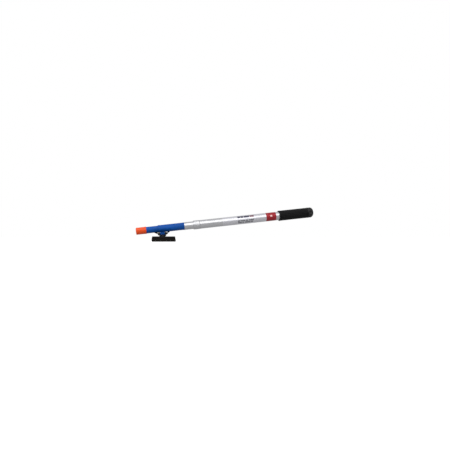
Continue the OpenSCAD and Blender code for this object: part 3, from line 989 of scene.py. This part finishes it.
def tongue_solid(sizes):
    """Tongue under the barrel, flared where it grows out of it."""
    half = 8 * MM
    root = EAR
    barrel = radius_of("inner_tube") - 0.7 * MM
    flare = rounded_path([
        (-9.5 * MM, AXIS_Z - 6 * MM, 0),
        (-root, ROLL_Z + 7 * MM, 5 * MM),
        (-root, ROLL_Z - root, root * 0.99),
        (root, ROLL_Z - root, root * 0.99),
        (root, ROLL_Z + 7 * MM, 5 * MM),
        (9.5 * MM, AXIS_Z - 6 * MM, 0),
    ], steps=10)
    reach = 14 * MM
    core = moved(rod(-reach, reach, barrel, 2 * MM), Matrix.Translation((0, 0, AXIS_Z)))
    return moved(moulded([plank(flare, -half, half), core], sizes.mould_grain, 4), POLE)


def screw_solid():
    """Pan-head screw seen from outside, with a cross recess, its seat at 0."""
    recess = 1.7 * MM
    deep = 0.9 * MM
    top = SCREW_RISE
    return turned([
        (-3 * MM, 0.2 * MM),
        (-3 * MM, 1.5 * MM),
        (0, 1.5 * MM),
        (0, 3.2 * MM, 0.15 * MM),
        (top * 0.55, 3.2 * MM, 0.6 * MM),
        (top, 2.2 * MM, 0.6 * MM),
        (top, recess + 0.1 * MM),
        (top - 0.05 * MM, recess, 0, 1),
        (deep, recess * 0.8, 0, 1),
        (deep, 0.1 * MM),
    ], sides=96, relief=cross_relief(recess, 0.4 * MM))


def end_cap_solid():
    """Push-on cap: a rounded, slightly tapered end with a gate mark, and a rolled open edge."""
    tip, edge, bead = round_span("end_cap")
    radius = bead - 0.3 * MM
    nose = radius_of("nose_tube")
    corners = [
        (tip + 0.5 * MM, 0.4 * MM),
        (tip + 0.5 * MM, 2.6 * MM, 0.2 * MM),
        (tip, 3.4 * MM, 0.5 * MM),
        (tip, radius - 0.2 * MM, 2.8 * MM),
        (edge - 4.2 * MM, radius, 0.8 * MM),
        (edge - 3.4 * MM, bead, 0.5 * MM),
        (edge, bead, 0.9 * MM),
        (edge, nose - 0.5 * MM),
        (edge - 3 * MM, nose - 0.5 * MM),
    ]
    return moved(turned(corners, sides=96, steps=8), POLE_AXIS)


def yoke_solid(sizes):
    """Yoke of the swivel: two ears on the roll bolt, a trough for the tongue, and an eye below."""
    low, high = pole_box("swivel_yoke")
    inner = 8.3 * MM
    outer = 12.25 * MM
    eye = 6.3 * MM
    face = 4.6 * MM
    core = 0.5 * MM
    half = high.y
    floor = ROLL_Z - EAR
    ear_outline = rounded_path([
        (-half, 0, 0),
        (-EAR - 0.4 * MM, ROLL_Z - 2 * MM, 3 * MM),
        (-EAR, ROLL_Z + EAR, EAR * 0.97),
        (EAR, ROLL_Z + EAR, EAR * 0.97),
        (EAR + 0.4 * MM, ROLL_Z - 2 * MM, 3 * MM),
        (half, 0, 0),
    ], steps=8)
    saddle = rounded_path([
        (-5.1 * MM, -3.5 * MM, 1 * MM),
        (5.1 * MM, -3.5 * MM, 1 * MM),
        (outer, 0.5 * MM, 1 * MM),
        (outer, floor, 0),
        (-outer, floor, 0),
        (-outer, 0.5 * MM, 1 * MM),
    ], closed=True)
    on_roll = Matrix.Translation((0, 0, ROLL_Z))
    across = Matrix.Rotation(RIGHT_ANGLE, 4, "Z")
    block = plank(saddle, -half, half, across="Y")
    barrel = moved(rod(-half, half, eye, core, 0.6 * MM), across)
    trough = moved(rod(-inner, inner, EAR + 0.3 * MM, core), on_roll)
    eye_part = combined(block, [barrel], "UNION")
    solids = [
        combined(eye_part, [trough], "DIFFERENCE"),
        plank(ear_outline, inner, outer),
        plank(ear_outline, -outer, -inner),
    ]
    for start, end in ((outer - 1 * MM, high.x), (-outer + 1 * MM, low.x)):
        boss = turned([(start, core), (start, EAR), (end, face, 0.4 * MM), (end, core)])
        solids.append(moved(boss, on_roll))
    return moved(moulded(solids, sizes.mould_grain * FINE_GRAIN, 2), POLE)


def guard_solid(near, far, fastener, inward):
    """Guard under the pole from a near to a far station, with a shelf inward over the fastener.

    The shelf stays clear of the yoke's ears, which roll under it.
    """
    half = 5 * MM
    rise = 0.56
    shelf = ROLL_Z + EAR + 0.5 * MM
    step = ROLL_Z + 2.9 * MM
    top = AXIS_Z - 8 * MM
    foot = pole_box("swivel_guards")[0].z
    toe = foot + rise * abs(far - near)
    outline = rounded_path([
        (near, foot, 1 * MM),
        (far, toe, 0.8 * MM),
        (far, top, 0),
        (inward, top, 0),
        (inward, shelf, 0),
        (fastener, shelf, 0),
        (fastener, step, 0),
        (near, step, 0),
    ], closed=True)
    return plank(outline, -half, half, across="Y")


def guards_solid(sizes):
    """The two guards in front of and behind the roll bolt, cut to fit the nose and the barrel."""
    low, high = pole_box("swivel_guards")
    bolt = pole_box("roll_bolt")
    nut_end = pole_box("roll_nut")[1].x
    gap = 0.4 * MM
    head_edge = 0.1 * MM
    tongue = 8 * MM
    guards = moulded([
        guard_solid(bolt[0].x - gap, low.x, bolt[0].x - gap + head_edge, -tongue),
        guard_solid(bolt[1].x + gap, high.x, nut_end + gap, tongue),
    ], sizes.mould_grain * FINE_GRAIN, 2)
    nose = radius_of("nose_tube")
    barrel = pole_box("head_barrel")
    barrel_start = barrel[0].x
    barrel_radius = barrel[1].y - BEAD_RISE
    seat = turned([
        (low.x - 1 * MM, 1 * MM),
        (low.x - 1 * MM, nose),
        (barrel_start, nose),
        (barrel_start, barrel_radius),
        (high.x + 1 * MM, barrel_radius),
        (high.x + 1 * MM, 1 * MM),
    ], sides=96)
    seat = moved(seat, Matrix.Translation((0, 0, AXIS_Z)))
    return moved(combined(guards, [seat], "DIFFERENCE"), POLE)


def bracket_solid(sizes):
    """Cast bracket: a flanged foot and two lugs for the pitch bolt, with a trough between them."""
    low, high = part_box("hinge_bracket")
    pad_top = low.z + 2.6 * MM
    lug_inner = 8.3 * MM
    lug_outer = 12.8 * MM
    lug = 6 * MM
    toe = 12 * MM
    foot = slab(high.x - low.x, high.y - low.y, PLATE_CORNER, soft_edges(low.z, pad_top, 0.6 * MM))
    lug_outline = rounded_path([
        (-toe, pad_top - 0.6 * MM, 0),
        (-lug - 0.8 * MM, pad_top + 1.6 * MM, 1.5 * MM),
        (-lug, PIVOT.z + lug, lug * 0.97),
        (lug, PIVOT.z + lug, lug * 0.97),
        (lug + 0.8 * MM, pad_top + 1.6 * MM, 1.5 * MM),
        (toe, pad_top - 0.6 * MM, 0),
    ], steps=8)
    trough = moved(rod(-lug_inner, lug_inner, 6.8 * MM, 1 * MM), PITCH_AXIS)
    foot = combined(foot, [trough], "DIFFERENCE")
    solids = [
        foot,
        plank(lug_outline, lug_inner, lug_outer, across="Y"),
        plank(lug_outline, -lug_outer, -lug_inner, across="Y"),
    ]
    return moulded(solids, sizes.mould_grain, 3)


def rivet_solid():
    """Domed rivet head, its seat at 0."""
    return turned([
        (-1 * MM, 0.3 * MM),
        (-1 * MM, 2 * MM),
        (0, 2 * MM),
        (0, RIVET_RADIUS, 0.1 * MM),
        (0.5 * MM, RIVET_RADIUS, 0.3 * MM),
        (RIVET_RISE, 2.2 * MM, 0.9 * MM),
        (RIVET_RISE, 0.2 * MM),
    ], sides=40)


def plate_solid():
    """Backing plate with a raised rim along each long side and two pressed ribs."""
    low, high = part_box("backing_plate")
    top = low.z + 2.5 * MM
    width = high.x - low.x
    rim = 2.2 * MM
    run = 178 * MM
    sheet = slab(width, high.y - low.y, PLATE_CORNER, soft_edges(low.z, top, 0.5 * MM))
    bars = []
    rim_layers = soft_edges(top - 1 * MM, high.z, 0.7 * MM)
    rib_layers = soft_edges(top - 0.8 * MM, top + 1.1 * MM, 0.9 * MM)
    for side in (-1, 1):
        bars.append(slab(rim, run, rim * 0.45, rim_layers, (side * (width - rim) / 2, 0)))
        bars.append(slab(3 * MM, run, 1.4 * MM, rib_layers, (side * 27 * MM, 0)))
    return combined(sheet, bars, "UNION")


def stud_solid():
    """Threaded clamp stud from the plate up, its foot at 0."""
    low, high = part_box("clamp_studs")
    length = high.z - low.z
    return turned([
        (0, 0.5 * MM),
        (0, THREAD_RADIUS),
        (2 * MM, THREAD_RADIUS),
        *thread_corners(2.2 * MM, length - 0.4 * MM, THREAD_RADIUS),
        (length, THREAD_RADIUS - 0.6 * MM),
    ], sides=32, relief=thread_relief)


def stud_places():
    """Places of the four studs, from the CAD model's own."""
    low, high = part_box("clamp_studs")
    rows = (low.y + THREAD_RADIUS, high.y - THREAD_RADIUS)
    return [(x, y) for y in rows for x in (low.x + THREAD_RADIUS, high.x - THREAD_RADIUS)]


def foam_solid(sizes):
    """Foam pad whose long sides bulge and waver a little between the plate and the sheet."""
    low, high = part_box("foam_pad")
    height = high.z - low.z
    steps = 8
    edge = 0.5 * MM
    sway_depth = 0.25 * MM
    layers = [(low.z, edge), (low.z + edge, 0)]
    layers += [(low.z + height * k / steps, 0) for k in range(1, steps)]
    layers += [(high.z - edge, 0), (high.z, edge)]
    pad = slab(high.x - low.x, high.y - low.y, PLATE_CORNER, layers)
    for vertex in pad.verts:
        outward = vertex.co.x / high.x
        rise = (vertex.co.z - low.z) / height
        sway = noise.noise(vertex.co * 60) * sway_depth
        vertex.co.x += outward ** 5 * math.sin(math.pi * rise) * (sizes.foam_bulge + sway)
    return pad


def sheet_path(sizes):
    """Middle line of the abrasive sheet, as (y, z, radius) corners, from flap end to flap end."""
    low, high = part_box("sandpaper")
    half = sizes.sheet_thickness / 2
    end = high.y - half
    top = high.z - half
    bottom = low.z + half
    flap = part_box("clamp_bar_back")[0].y
    bend = sizes.sheet_bend
    right = [
        (end, bottom, bend),
        (end, top, bend * 0.8),
        (flap, top, 8 * MM),
        (flap - 5 * MM, top + 0.7 * MM, 0),
    ]
    left = [(-y, z, radius) for y, z, radius in reversed(right)]
    return left + right


def sheet_solid(sizes):
    """The abrasive sheet, bent up round both ends of the pad and in over the plate."""
    low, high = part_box("sandpaper")
    half = sizes.sheet_thickness / 2
    middle = [Vector(point) for point in rounded_path(sheet_path(sizes), steps=6)]
    outer = []
    inner = []
    for i, here in enumerate(middle):
        run = (middle[min(i + 1, len(middle) - 1)] - middle[max(i - 1, 0)]).normalized()
        side = Vector((run.y, -run.x)) * half
        outer.append(here + side)
        inner.append(here - side)
    outline = outer + inner[::-1]
    count = 26
    wave_height = 0.12 * MM
    flap_level = high.z * 0.7
    rings = []
    for k in range(count + 1):
        x = low.x + (high.x - low.x) * k / count
        ring = []
        for point in outline:
            wave = noise.noise(Vector((x * 70, point.x * 25, 0))) * wave_height
            lifted = point.y + (wave if point.y > flap_level else 0)
            ring.append((x, point.x, lifted))
        rings.append(ring)
    return skin(rings)


def clamp_solid(node, side):
    """Folded clamp bar: a flat leg on the sheet's flap and a lip with rounded corners."""
    low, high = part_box(node)
    gauge = 1.8 * MM
    inner = low.y if side > 0 else high.y
    outer = high.y if side > 0 else low.y
    fold = rounded_path([
        (inner, low.z, 0.6 * MM),
        (outer, low.z, 2 * MM),
        (outer, high.z, 0.6 * MM),
        (outer - side * gauge, high.z, 0.6 * MM),
        (outer - side * gauge, low.z + gauge, 0.8 * MM),
        (inner, low.z + gauge, 0.6 * MM),
    ], closed=True)
    bar = plank(fold, low.x, high.x)
    middle = (low + high) / 2
    plan = slab(high.x - low.x, high.y - low.y, 2.5 * MM, [(low.z - 1 * MM, 0), (high.z + 1 * MM, 0)],
                (middle.x, middle.y))
    face = slab(high.x - low.x, 2 * (high.z - low.z), 3 * MM, [(-20 * MM, 0), (20 * MM, 0)])
    face = moved(face, Matrix.Translation((middle.x, middle.y, low.z)) @ Matrix.Rotation(RIGHT_ANGLE, 4, "X"))
    return combined(bar, [plan, face], "INTERSECT")


def thumb_nut_solid(sizes, height):
    """Lobed thumb nut with a dished top round its threaded bore, its foot at 0."""
    radius = 7 * MM
    bore = THREAD_RADIUS
    corners = [
        (0, bore),
        (0, radius - 0.7 * MM, 0.2 * MM),
        (0.6 * MM, radius, 0, 0.6),
        (0.9 * MM, radius, 0, 1),
        (height - 1.2 * MM, radius, 0, 1),
        (height - 0.7 * MM, radius - 0.2 * MM, 0, 0.7),
        (height - 0.2 * MM, radius - 0.9 * MM),
        (height, radius - 1.8 * MM, 0.3 * MM),
        (height - 0.9 * MM, bore + 2 * MM, 0.6 * MM),
        (height - 0.9 * MM, bore),
    ]
    return turned(corners, sides=sizes.lobe_count * 12, hollow=True,
                  relief=rib_relief(sizes.lobe_count, sizes.lobe_depth))


# ---------------------------------------------------------------- operators

class SANDER_OT_tubes(Operator):
    """Give the aluminium tubes and the painted nose tube their finishes"""

    bl_idname = "sander.tubes"
    bl_label = "Tubes"

    def execute(self, context):
        colours = context.scene.sander_colours
        aluminium = shared(drawn_aluminium, "tube_aluminium", colours.tube, roughness=0.3)
        blue = shared(moulded_plastic, "nose_blue", colours.head, roughness=0.34, grain=0.15,
                      specular=0.11, worn=0.0)
        for node, finish in (("outer_tube", aluminium), ("inner_tube", aluminium), ("nose_tube", blue)):
            finish_node(node, finish)
        return {"FINISHED"}


class SANDER_OT_grip(Operator):
    """Build the ribbed rubber grip with its end knob and hang hole"""

    bl_idname = "sander.grip"
    bl_label = "Grip"

    def execute(self, context):
        scene = context.scene
        colour = scene.sander_colours.rubber
        rubber = shared(grip_rubber, "grip_rubber", colour, gloss=BLACK_SHINE)
        polished = shared(grip_rubber, "knob_rubber", colour, gloss=3 * BLACK_SHINE)
        solid = gathered([grip_sleeve_solid(scene.sander_sizes), grip_knob_solid()])
        grip = add_piece("ribbed_grip", moved(solid, POLE_AXIS), "handle", rubber, ["grip"])
        grip.data.materials.append(polished)
        return {"FINISHED"}


class SANDER_OT_label(Operator):
    """Print the label film and the badge with plain bars"""

    bl_idname = "sander.label"
    bl_label = "Label and badge"

    def execute(self, context):
        colours = context.scene.sander_colours
        finish_node("label_wrap", shared(label_print, "label_film", colours))
        finish_node("label_badge", shared(badge_print, "badge_film", colours))
        return {"FINISHED"}


class SANDER_OT_lock(Operator):
    """Build the fluted lock collar and finish the collet in it"""

    bl_idname = "sander.lock"
    bl_label = "Lock collar"

    def execute(self, context):
        scene = context.scene
        colours = scene.sander_colours
        aluminium = shared(drawn_aluminium, "collar_aluminium", colours.collar, roughness=0.34)
        collar = lock_collar_solid(scene.sander_sizes)
        add_piece("fluted_collar", collar, "collar", aluminium, ["lock_collar"])
        grey = shared(moulded_plastic, "collet_grey", colours.collet, roughness=0.5, worn=0.0)
        finish_node("mouth_collet", grey)
        return {"FINISHED"}


class SANDER_OT_head(Operator):
    """Build the blue barrel with its tongue, and its two screws"""

    bl_idname = "sander.head"
    bl_label = "Head barrel"

    def execute(self, context):
        scene = context.scene
        colours = scene.sander_colours
        blue = shared(moulded_plastic, "head_blue", colours.head, roughness=0.36, grain=0.15,
                      specular=0.11)
        solid = gathered([barrel_solid(), tongue_solid(scene.sander_sizes)])
        add_piece("barrel_and_tongue", solid, "slider", blue, ["head_barrel"])
        zinc = zinc_steel(colours)
        seat = pole_box("barrel_screws")[1].z - SCREW_RISE
        screws = gathered([moved(screw_solid(), upright(x, 0, seat)) for x in screw_places()])
        add_piece("cross_head_screws", moved(screws, POLE), "slider", zinc, ["barrel_screws"])
        return {"FINISHED"}


class SANDER_OT_end_cap(Operator):
    """Build the push-on end cap"""

    bl_idname = "sander.end_cap"
    bl_label = "End cap"

    def execute(self, context):
        vinyl = shared(soft_vinyl, "cap_orange", context.scene.sander_colours.cap)
        add_piece("vinyl_cap", end_cap_solid(), "slider", vinyl, ["end_cap"])
        return {"FINISHED"}


class SANDER_OT_inner_fittings(Operator):
    """Finish the plugs and bushes inside the tubes and the swivel"""

    bl_idname = "sander.inner_fittings"
    bl_label = "Plugs and bushes"

    def execute(self, context):
        colours = context.scene.sander_colours
        plastic = dark_plastic(colours)
        nylon = shared(natural_nylon, "bush_nylon", colours.nylon)
        for node in ("tube_end_plug", "inner_tube_plug"):
            finish_node(node, plastic)
        for node in ("guide_bush", "tongue_bush", "pitch_bush"):
            finish_node(node, nylon)
        return {"FINISHED"}


class SANDER_OT_yoke(Operator):
    """Build the black yoke between the swivel's two bolts"""

    bl_idname = "sander.yoke"
    bl_label = "Swivel yoke"

    def execute(self, context):
        scene = context.scene
        black = yoke_plastic(scene.sander_colours)
        yoke = yoke_solid(scene.sander_sizes)
        add_piece("moulded_yoke", yoke, "yoke", black, ["swivel_yoke"], crease=50)
        return {"FINISHED"}


class SANDER_OT_guards(Operator):
    """Build the black guards on either side of the roll bolt"""

    bl_idname = "sander.guards"
    bl_label = "Swivel guards"

    def execute(self, context):
        scene = context.scene
        black = yoke_plastic(scene.sander_colours)
        guards = guards_solid(scene.sander_sizes)
        add_piece("moulded_guards", guards, "slider", black, ["swivel_guards"], crease=50)
        return {"FINISHED"}


class SANDER_OT_bracket(Operator):
    """Build the cast bracket on the plate and its rivets"""

    bl_idname = "sander.bracket"
    bl_label = "Hinge bracket"

    def execute(self, context):
        scene = context.scene
        colours = scene.sander_colours
        enamel = plate_enamel(colours)
        bracket = bracket_solid(scene.sander_sizes)
        add_piece("cast_bracket", bracket, "plate", enamel, ["hinge_bracket"], crease=50)
        low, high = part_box("bracket_rivets")
        seat = high.z - RIVET_RISE
        rivets = [moved(rivet_solid(), upright(x, y, seat))
                  for x in (low.x + RIVET_RADIUS, high.x - RIVET_RADIUS)
                  for y in (low.y + RIVET_RADIUS, high.y - RIVET_RADIUS)]
        zinc = zinc_steel(colours)
        add_piece("domed_rivets", gathered(rivets), "plate", zinc, ["bracket_rivets"])
        return {"FINISHED"}


class SANDER_OT_swivel_bolts(Operator):
    """Build the bolts, nuts and washers of the swivel's two axes"""

    bl_idname = "sander.swivel_bolts"
    bl_label = "Swivel bolts"

    def execute(self, context):
        colours = context.scene.sander_colours
        oxide = shared(black_oxide, "black_steel", colours.oxide)
        head = 3 * MM
        thread = 9 * MM
        gauge = 0.8 * MM
        rows = (
            ("roll", "yoke", ROLL_AXIS, 0, pole_box, Vector()),
            ("pitch", "plate", PITCH_AXIS, 1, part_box, PIVOT),
        )
        for axis, body, place, i, box_of, origin in rows:
            bolt, nut, washers = ([(corner - origin)[i] for corner in box_of(f"{axis}_{part}")]
                                  for part in ("bolt", "nut", "washers"))
            shaft = socket_bolt(bolt[1] - bolt[0], head, thread)
            shaft = moved(shaft, place @ Matrix.Translation((bolt[0], 0, 0)))
            add_piece(f"{axis}_socket_bolt", shaft, body, oxide, [f"{axis}_bolt"])
            locker = moved(lock_nut(nut[1] - nut[0]), place @ Matrix.Translation((nut[0], 0, 0)))
            add_piece(f"{axis}_lock_nut", locker, body, oxide, [f"{axis}_nut"])
            discs = [moved(flat_washer(gauge), place @ Matrix.Translation((x, 0, 0)))
                     for x in (washers[0], washers[1] - gauge)]
            add_piece(f"{axis}_flat_washers", gathered(discs), body, oxide, [f"{axis}_washers"])
        return {"FINISHED"}


class SANDER_OT_backing_plate(Operator):
    """Build the ribbed backing plate and its threaded studs"""

    bl_idname = "sander.backing_plate"
    bl_label = "Backing plate"

    def execute(self, context):
        colours = context.scene.sander_colours
        enamel = plate_enamel(colours)
        add_piece("ribbed_plate", plate_solid(), "plate", enamel, ["backing_plate"])
        zinc = zinc_steel(colours)
        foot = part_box("clamp_studs")[0].z
        studs = [moved(stud_solid(), upright(x, y, foot)) for x, y in stud_places()]
        add_piece("threaded_studs", gathered(studs), "plate", zinc, ["clamp_studs"])
        return {"FINISHED"}


class SANDER_OT_foam_pad(Operator):
    """Build the foam pad under the plate"""

    bl_idname = "sander.foam_pad"
    bl_label = "Foam pad"

    def execute(self, context):
        scene = context.scene
        foam = shared(closed_cell_foam, "foam_black", scene.sander_colours.foam)
        solid = foam_solid(scene.sander_sizes)
        pad = add_piece("cut_foam_pad", solid, "plate", foam, ["foam_pad"])
        return {"FINISHED"}


class SANDER_OT_abrasive_sheet(Operator):
    """Build the abrasive sheet that wraps round the pad's ends"""

    bl_idname = "sander.abrasive_sheet"
    bl_label = "Abrasive sheet"

    def execute(self, context):
        scene = context.scene
        sizes = scene.sander_sizes
        grit = shared(abrasive_grit, "abrasive_sheet", scene.sander_colours.grit)
        solid = sheet_solid(sizes)
        sheet = add_piece("abrasive_sheet", solid, "plate", grit, ["sandpaper"])
        path = [Vector(point) for point in rounded_path(sheet_path(sizes))]
        return {"FINISHED"}


class SANDER_OT_clamps(Operator):
    """Build the two clamp bars and their four thumb nuts"""

    bl_idname = "sander.clamps"
    bl_label = "Clamps"

    def execute(self, context):
        scene = context.scene
        colours = scene.sander_colours
        enamel = plate_enamel(colours)
        plastic = dark_plastic(colours)
        for end, side in (("front", -1), ("back", 1)):
            node = f"clamp_bar_{end}"
            bar = clamp_solid(node, side)
            add_piece(f"folded_clamp_{end}", bar, f"clamp_{end}", enamel, [node])
            for number in (1, 2):
                node = f"thumb_nut_{end}_{number}"
                low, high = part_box(node)
                middle = (low + high) / 2
                solid = thumb_nut_solid(scene.sander_sizes, high.z - low.z)
                solid = moved(solid, upright(middle.x, middle.y, low.z))
                name = f"nut_{end}_{number}"
                add_piece(f"lobed_{name}", solid, name, plastic, [node])
        return {"FINISHED"}


class SANDER_OT_stage(Operator):
    """Set up the floor, the soft lights, the pale surround and the camera"""

    bl_idname = "sander.stage"
    bl_label = "Stage"

    def execute(self, context):
        scene = context.scene
        stage = scene.sander_stage
        add_floor(scene.sander_colours.floor, stage)
        add_surround(scene, stage.sky)
        add_lights(scene, stage)
        add_camera(scene, stage)
        scene.view_settings.view_transform = "Standard"
        return {"FINISHED"}


# ---------------------------------------------------------------- the stage

def add_floor(colour, stage):
    """Pale floor that runs out to white without throwing that white back onto the object."""
    mesh = bpy.data.meshes.new("floor")
    half = stage.floor_size / 2
    corners = [(x * half, y * half, -stage.floor_drop) for x, y in ((-1, -1), (1, -1), (1, 1), (-1, 1))]
    mesh.from_pydata(corners, [], [(0, 1, 2, 3)])
    finish = Finish("floor_paper", colour, 0.9, specular=0.0)
    glow = stage.floor_glow
    finish.shader.inputs["Emission Color"].default_value = (glow, glow, glow, 1)
    seen = finish.node("ShaderNodeLightPath").outputs["Is Camera Ray"]
    finish.feed(seen, finish.shader.inputs["Emission Strength"])
    mesh.materials.append(finish.material)
    floor = bpy.data.objects.new("floor", mesh)
    bpy.context.scene.collection.objects.link(floor)


def add_surround(scene, brightness):
    """Pale surround that is white behind the object and softer where it lights it."""
    world = bpy.data.worlds.new("surround")
    world.use_nodes = True
    nodes = world.node_tree.nodes
    links = world.node_tree.links
    coolness = 1.03
    lit = nodes["Background"]
    lit.inputs["Color"].default_value = (brightness, brightness, brightness * coolness, 1)
    seen = nodes.new("ShaderNodeBackground")
    seen.inputs["Color"].default_value = (1, 1, 1, 1)
    path = nodes.new("ShaderNodeLightPath")
    mix = nodes.new("ShaderNodeMixShader")
    links.new(path.outputs["Is Camera Ray"], mix.inputs[0])
    links.new(lit.outputs[0], mix.inputs[1])
    links.new(seen.outputs[0], mix.inputs[2])
    links.new(mix.outputs[0], nodes["World Output"].inputs["Surface"])
    scene.world = world


def aimed(place, target):
    """Matrix of a lamp or camera at a place, looking at a target."""
    turn = (Vector(target) - Vector(place)).to_track_quat("-Z", "Y")
    return Matrix.Translation(place) @ turn.to_matrix().to_4x4()


def add_lights(scene, stage):
    """A soft sun from behind the camera's left shoulder and a wide strip in front."""
    low, high = CAD_BOUNDS
    middle = (low + high) / 2
    to_sun = Vector((-0.5, -0.8, 1.5))
    to_strip = Vector((-0.1, -0.8, 0.7))
    sun = bpy.data.lights.new("key", "SUN")
    sun.energy = stage.sun_strength
    sun.angle = math.radians(24)
    key = bpy.data.objects.new("key", sun)
    key.matrix_world = aimed(middle + to_sun, middle)
    scene.collection.objects.link(key)
    strip = bpy.data.lights.new("strip", "AREA")
    strip.shape = "RECTANGLE"
    strip.size = 1.6
    strip.size_y = 0.8
    strip.energy = stage.strip_power
    front = bpy.data.objects.new("strip", strip)
    front.matrix_world = aimed(middle + to_strip, middle)
    scene.collection.objects.link(front)


def add_camera(scene, stage):
    """The camera, level but for its rise, and turned by its heading."""
    lens = bpy.data.cameras.new("camera")
    lens.lens = stage.camera_lens
    lens.clip_start = 0.005
    lens.clip_end = 200
    camera = bpy.data.objects.new("camera", lens)
    camera.location = stage.camera_place
    camera.rotation_euler = (RIGHT_ANGLE + stage.camera_rise, 0, -stage.camera_heading)
    scene.collection.objects.link(camera)
    scene.camera = camera


# ---------------------------------------------------------------- panel and registration

OPERATORS = (
    SANDER_OT_tubes,
    SANDER_OT_grip,
    SANDER_OT_label,
    SANDER_OT_lock,
    SANDER_OT_head,
    SANDER_OT_end_cap,
    SANDER_OT_inner_fittings,
    SANDER_OT_yoke,
    SANDER_OT_guards,
    SANDER_OT_bracket,
    SANDER_OT_swivel_bolts,
    SANDER_OT_backing_plate,
    SANDER_OT_foam_pad,
    SANDER_OT_abrasive_sheet,
    SANDER_OT_clamps,
    SANDER_OT_stage,
)


class SANDER_PT_pieces(Panel):
    """Lists the sander's sizes, colours and pieces"""

    bl_idname = "SANDER_PT_pieces"
    bl_label = "Pole drywall sander"
    bl_space_type = "VIEW_3D"
    bl_region_type = "UI"
    bl_category = "Sander"

    def draw(self, context):
        scene = context.scene
        for group in (scene.sander_sizes, scene.sander_colours, scene.sander_stage):
            box = self.layout.box()
            for setting in group.bl_rna.properties.keys():
                if setting not in {"rna_type", "name"}:
                    box.prop(group, setting)
        for operator in OPERATORS:
            self.layout.operator(operator.bl_idname)


CLASSES = (SanderSizes, SanderColours, SanderStage, *OPERATORS, SANDER_PT_pieces)


def register():
    """Add the classes and hang the settings on the scene."""
    for cls in CLASSES:
        bpy.utils.register_class(cls)
    bpy.types.Scene.sander_sizes = PointerProperty(type=SanderSizes)
    bpy.types.Scene.sander_colours = PointerProperty(type=SanderColours)
    bpy.types.Scene.sander_stage = PointerProperty(type=SanderStage)


def unregister():
    """Take the settings and the classes away again."""
    del bpy.types.Scene.sander_stage
    del bpy.types.Scene.sander_colours
    del bpy.types.Scene.sander_sizes
    for cls in reversed(CLASSES):
        bpy.utils.unregister_class(cls)


def main():
    """Build the sander and its stage."""
    register()
    for operator in OPERATORS:
        getattr(bpy.ops.sander, operator.bl_idname.removeprefix("sander."))()


if __name__ == "__main__":
    main()
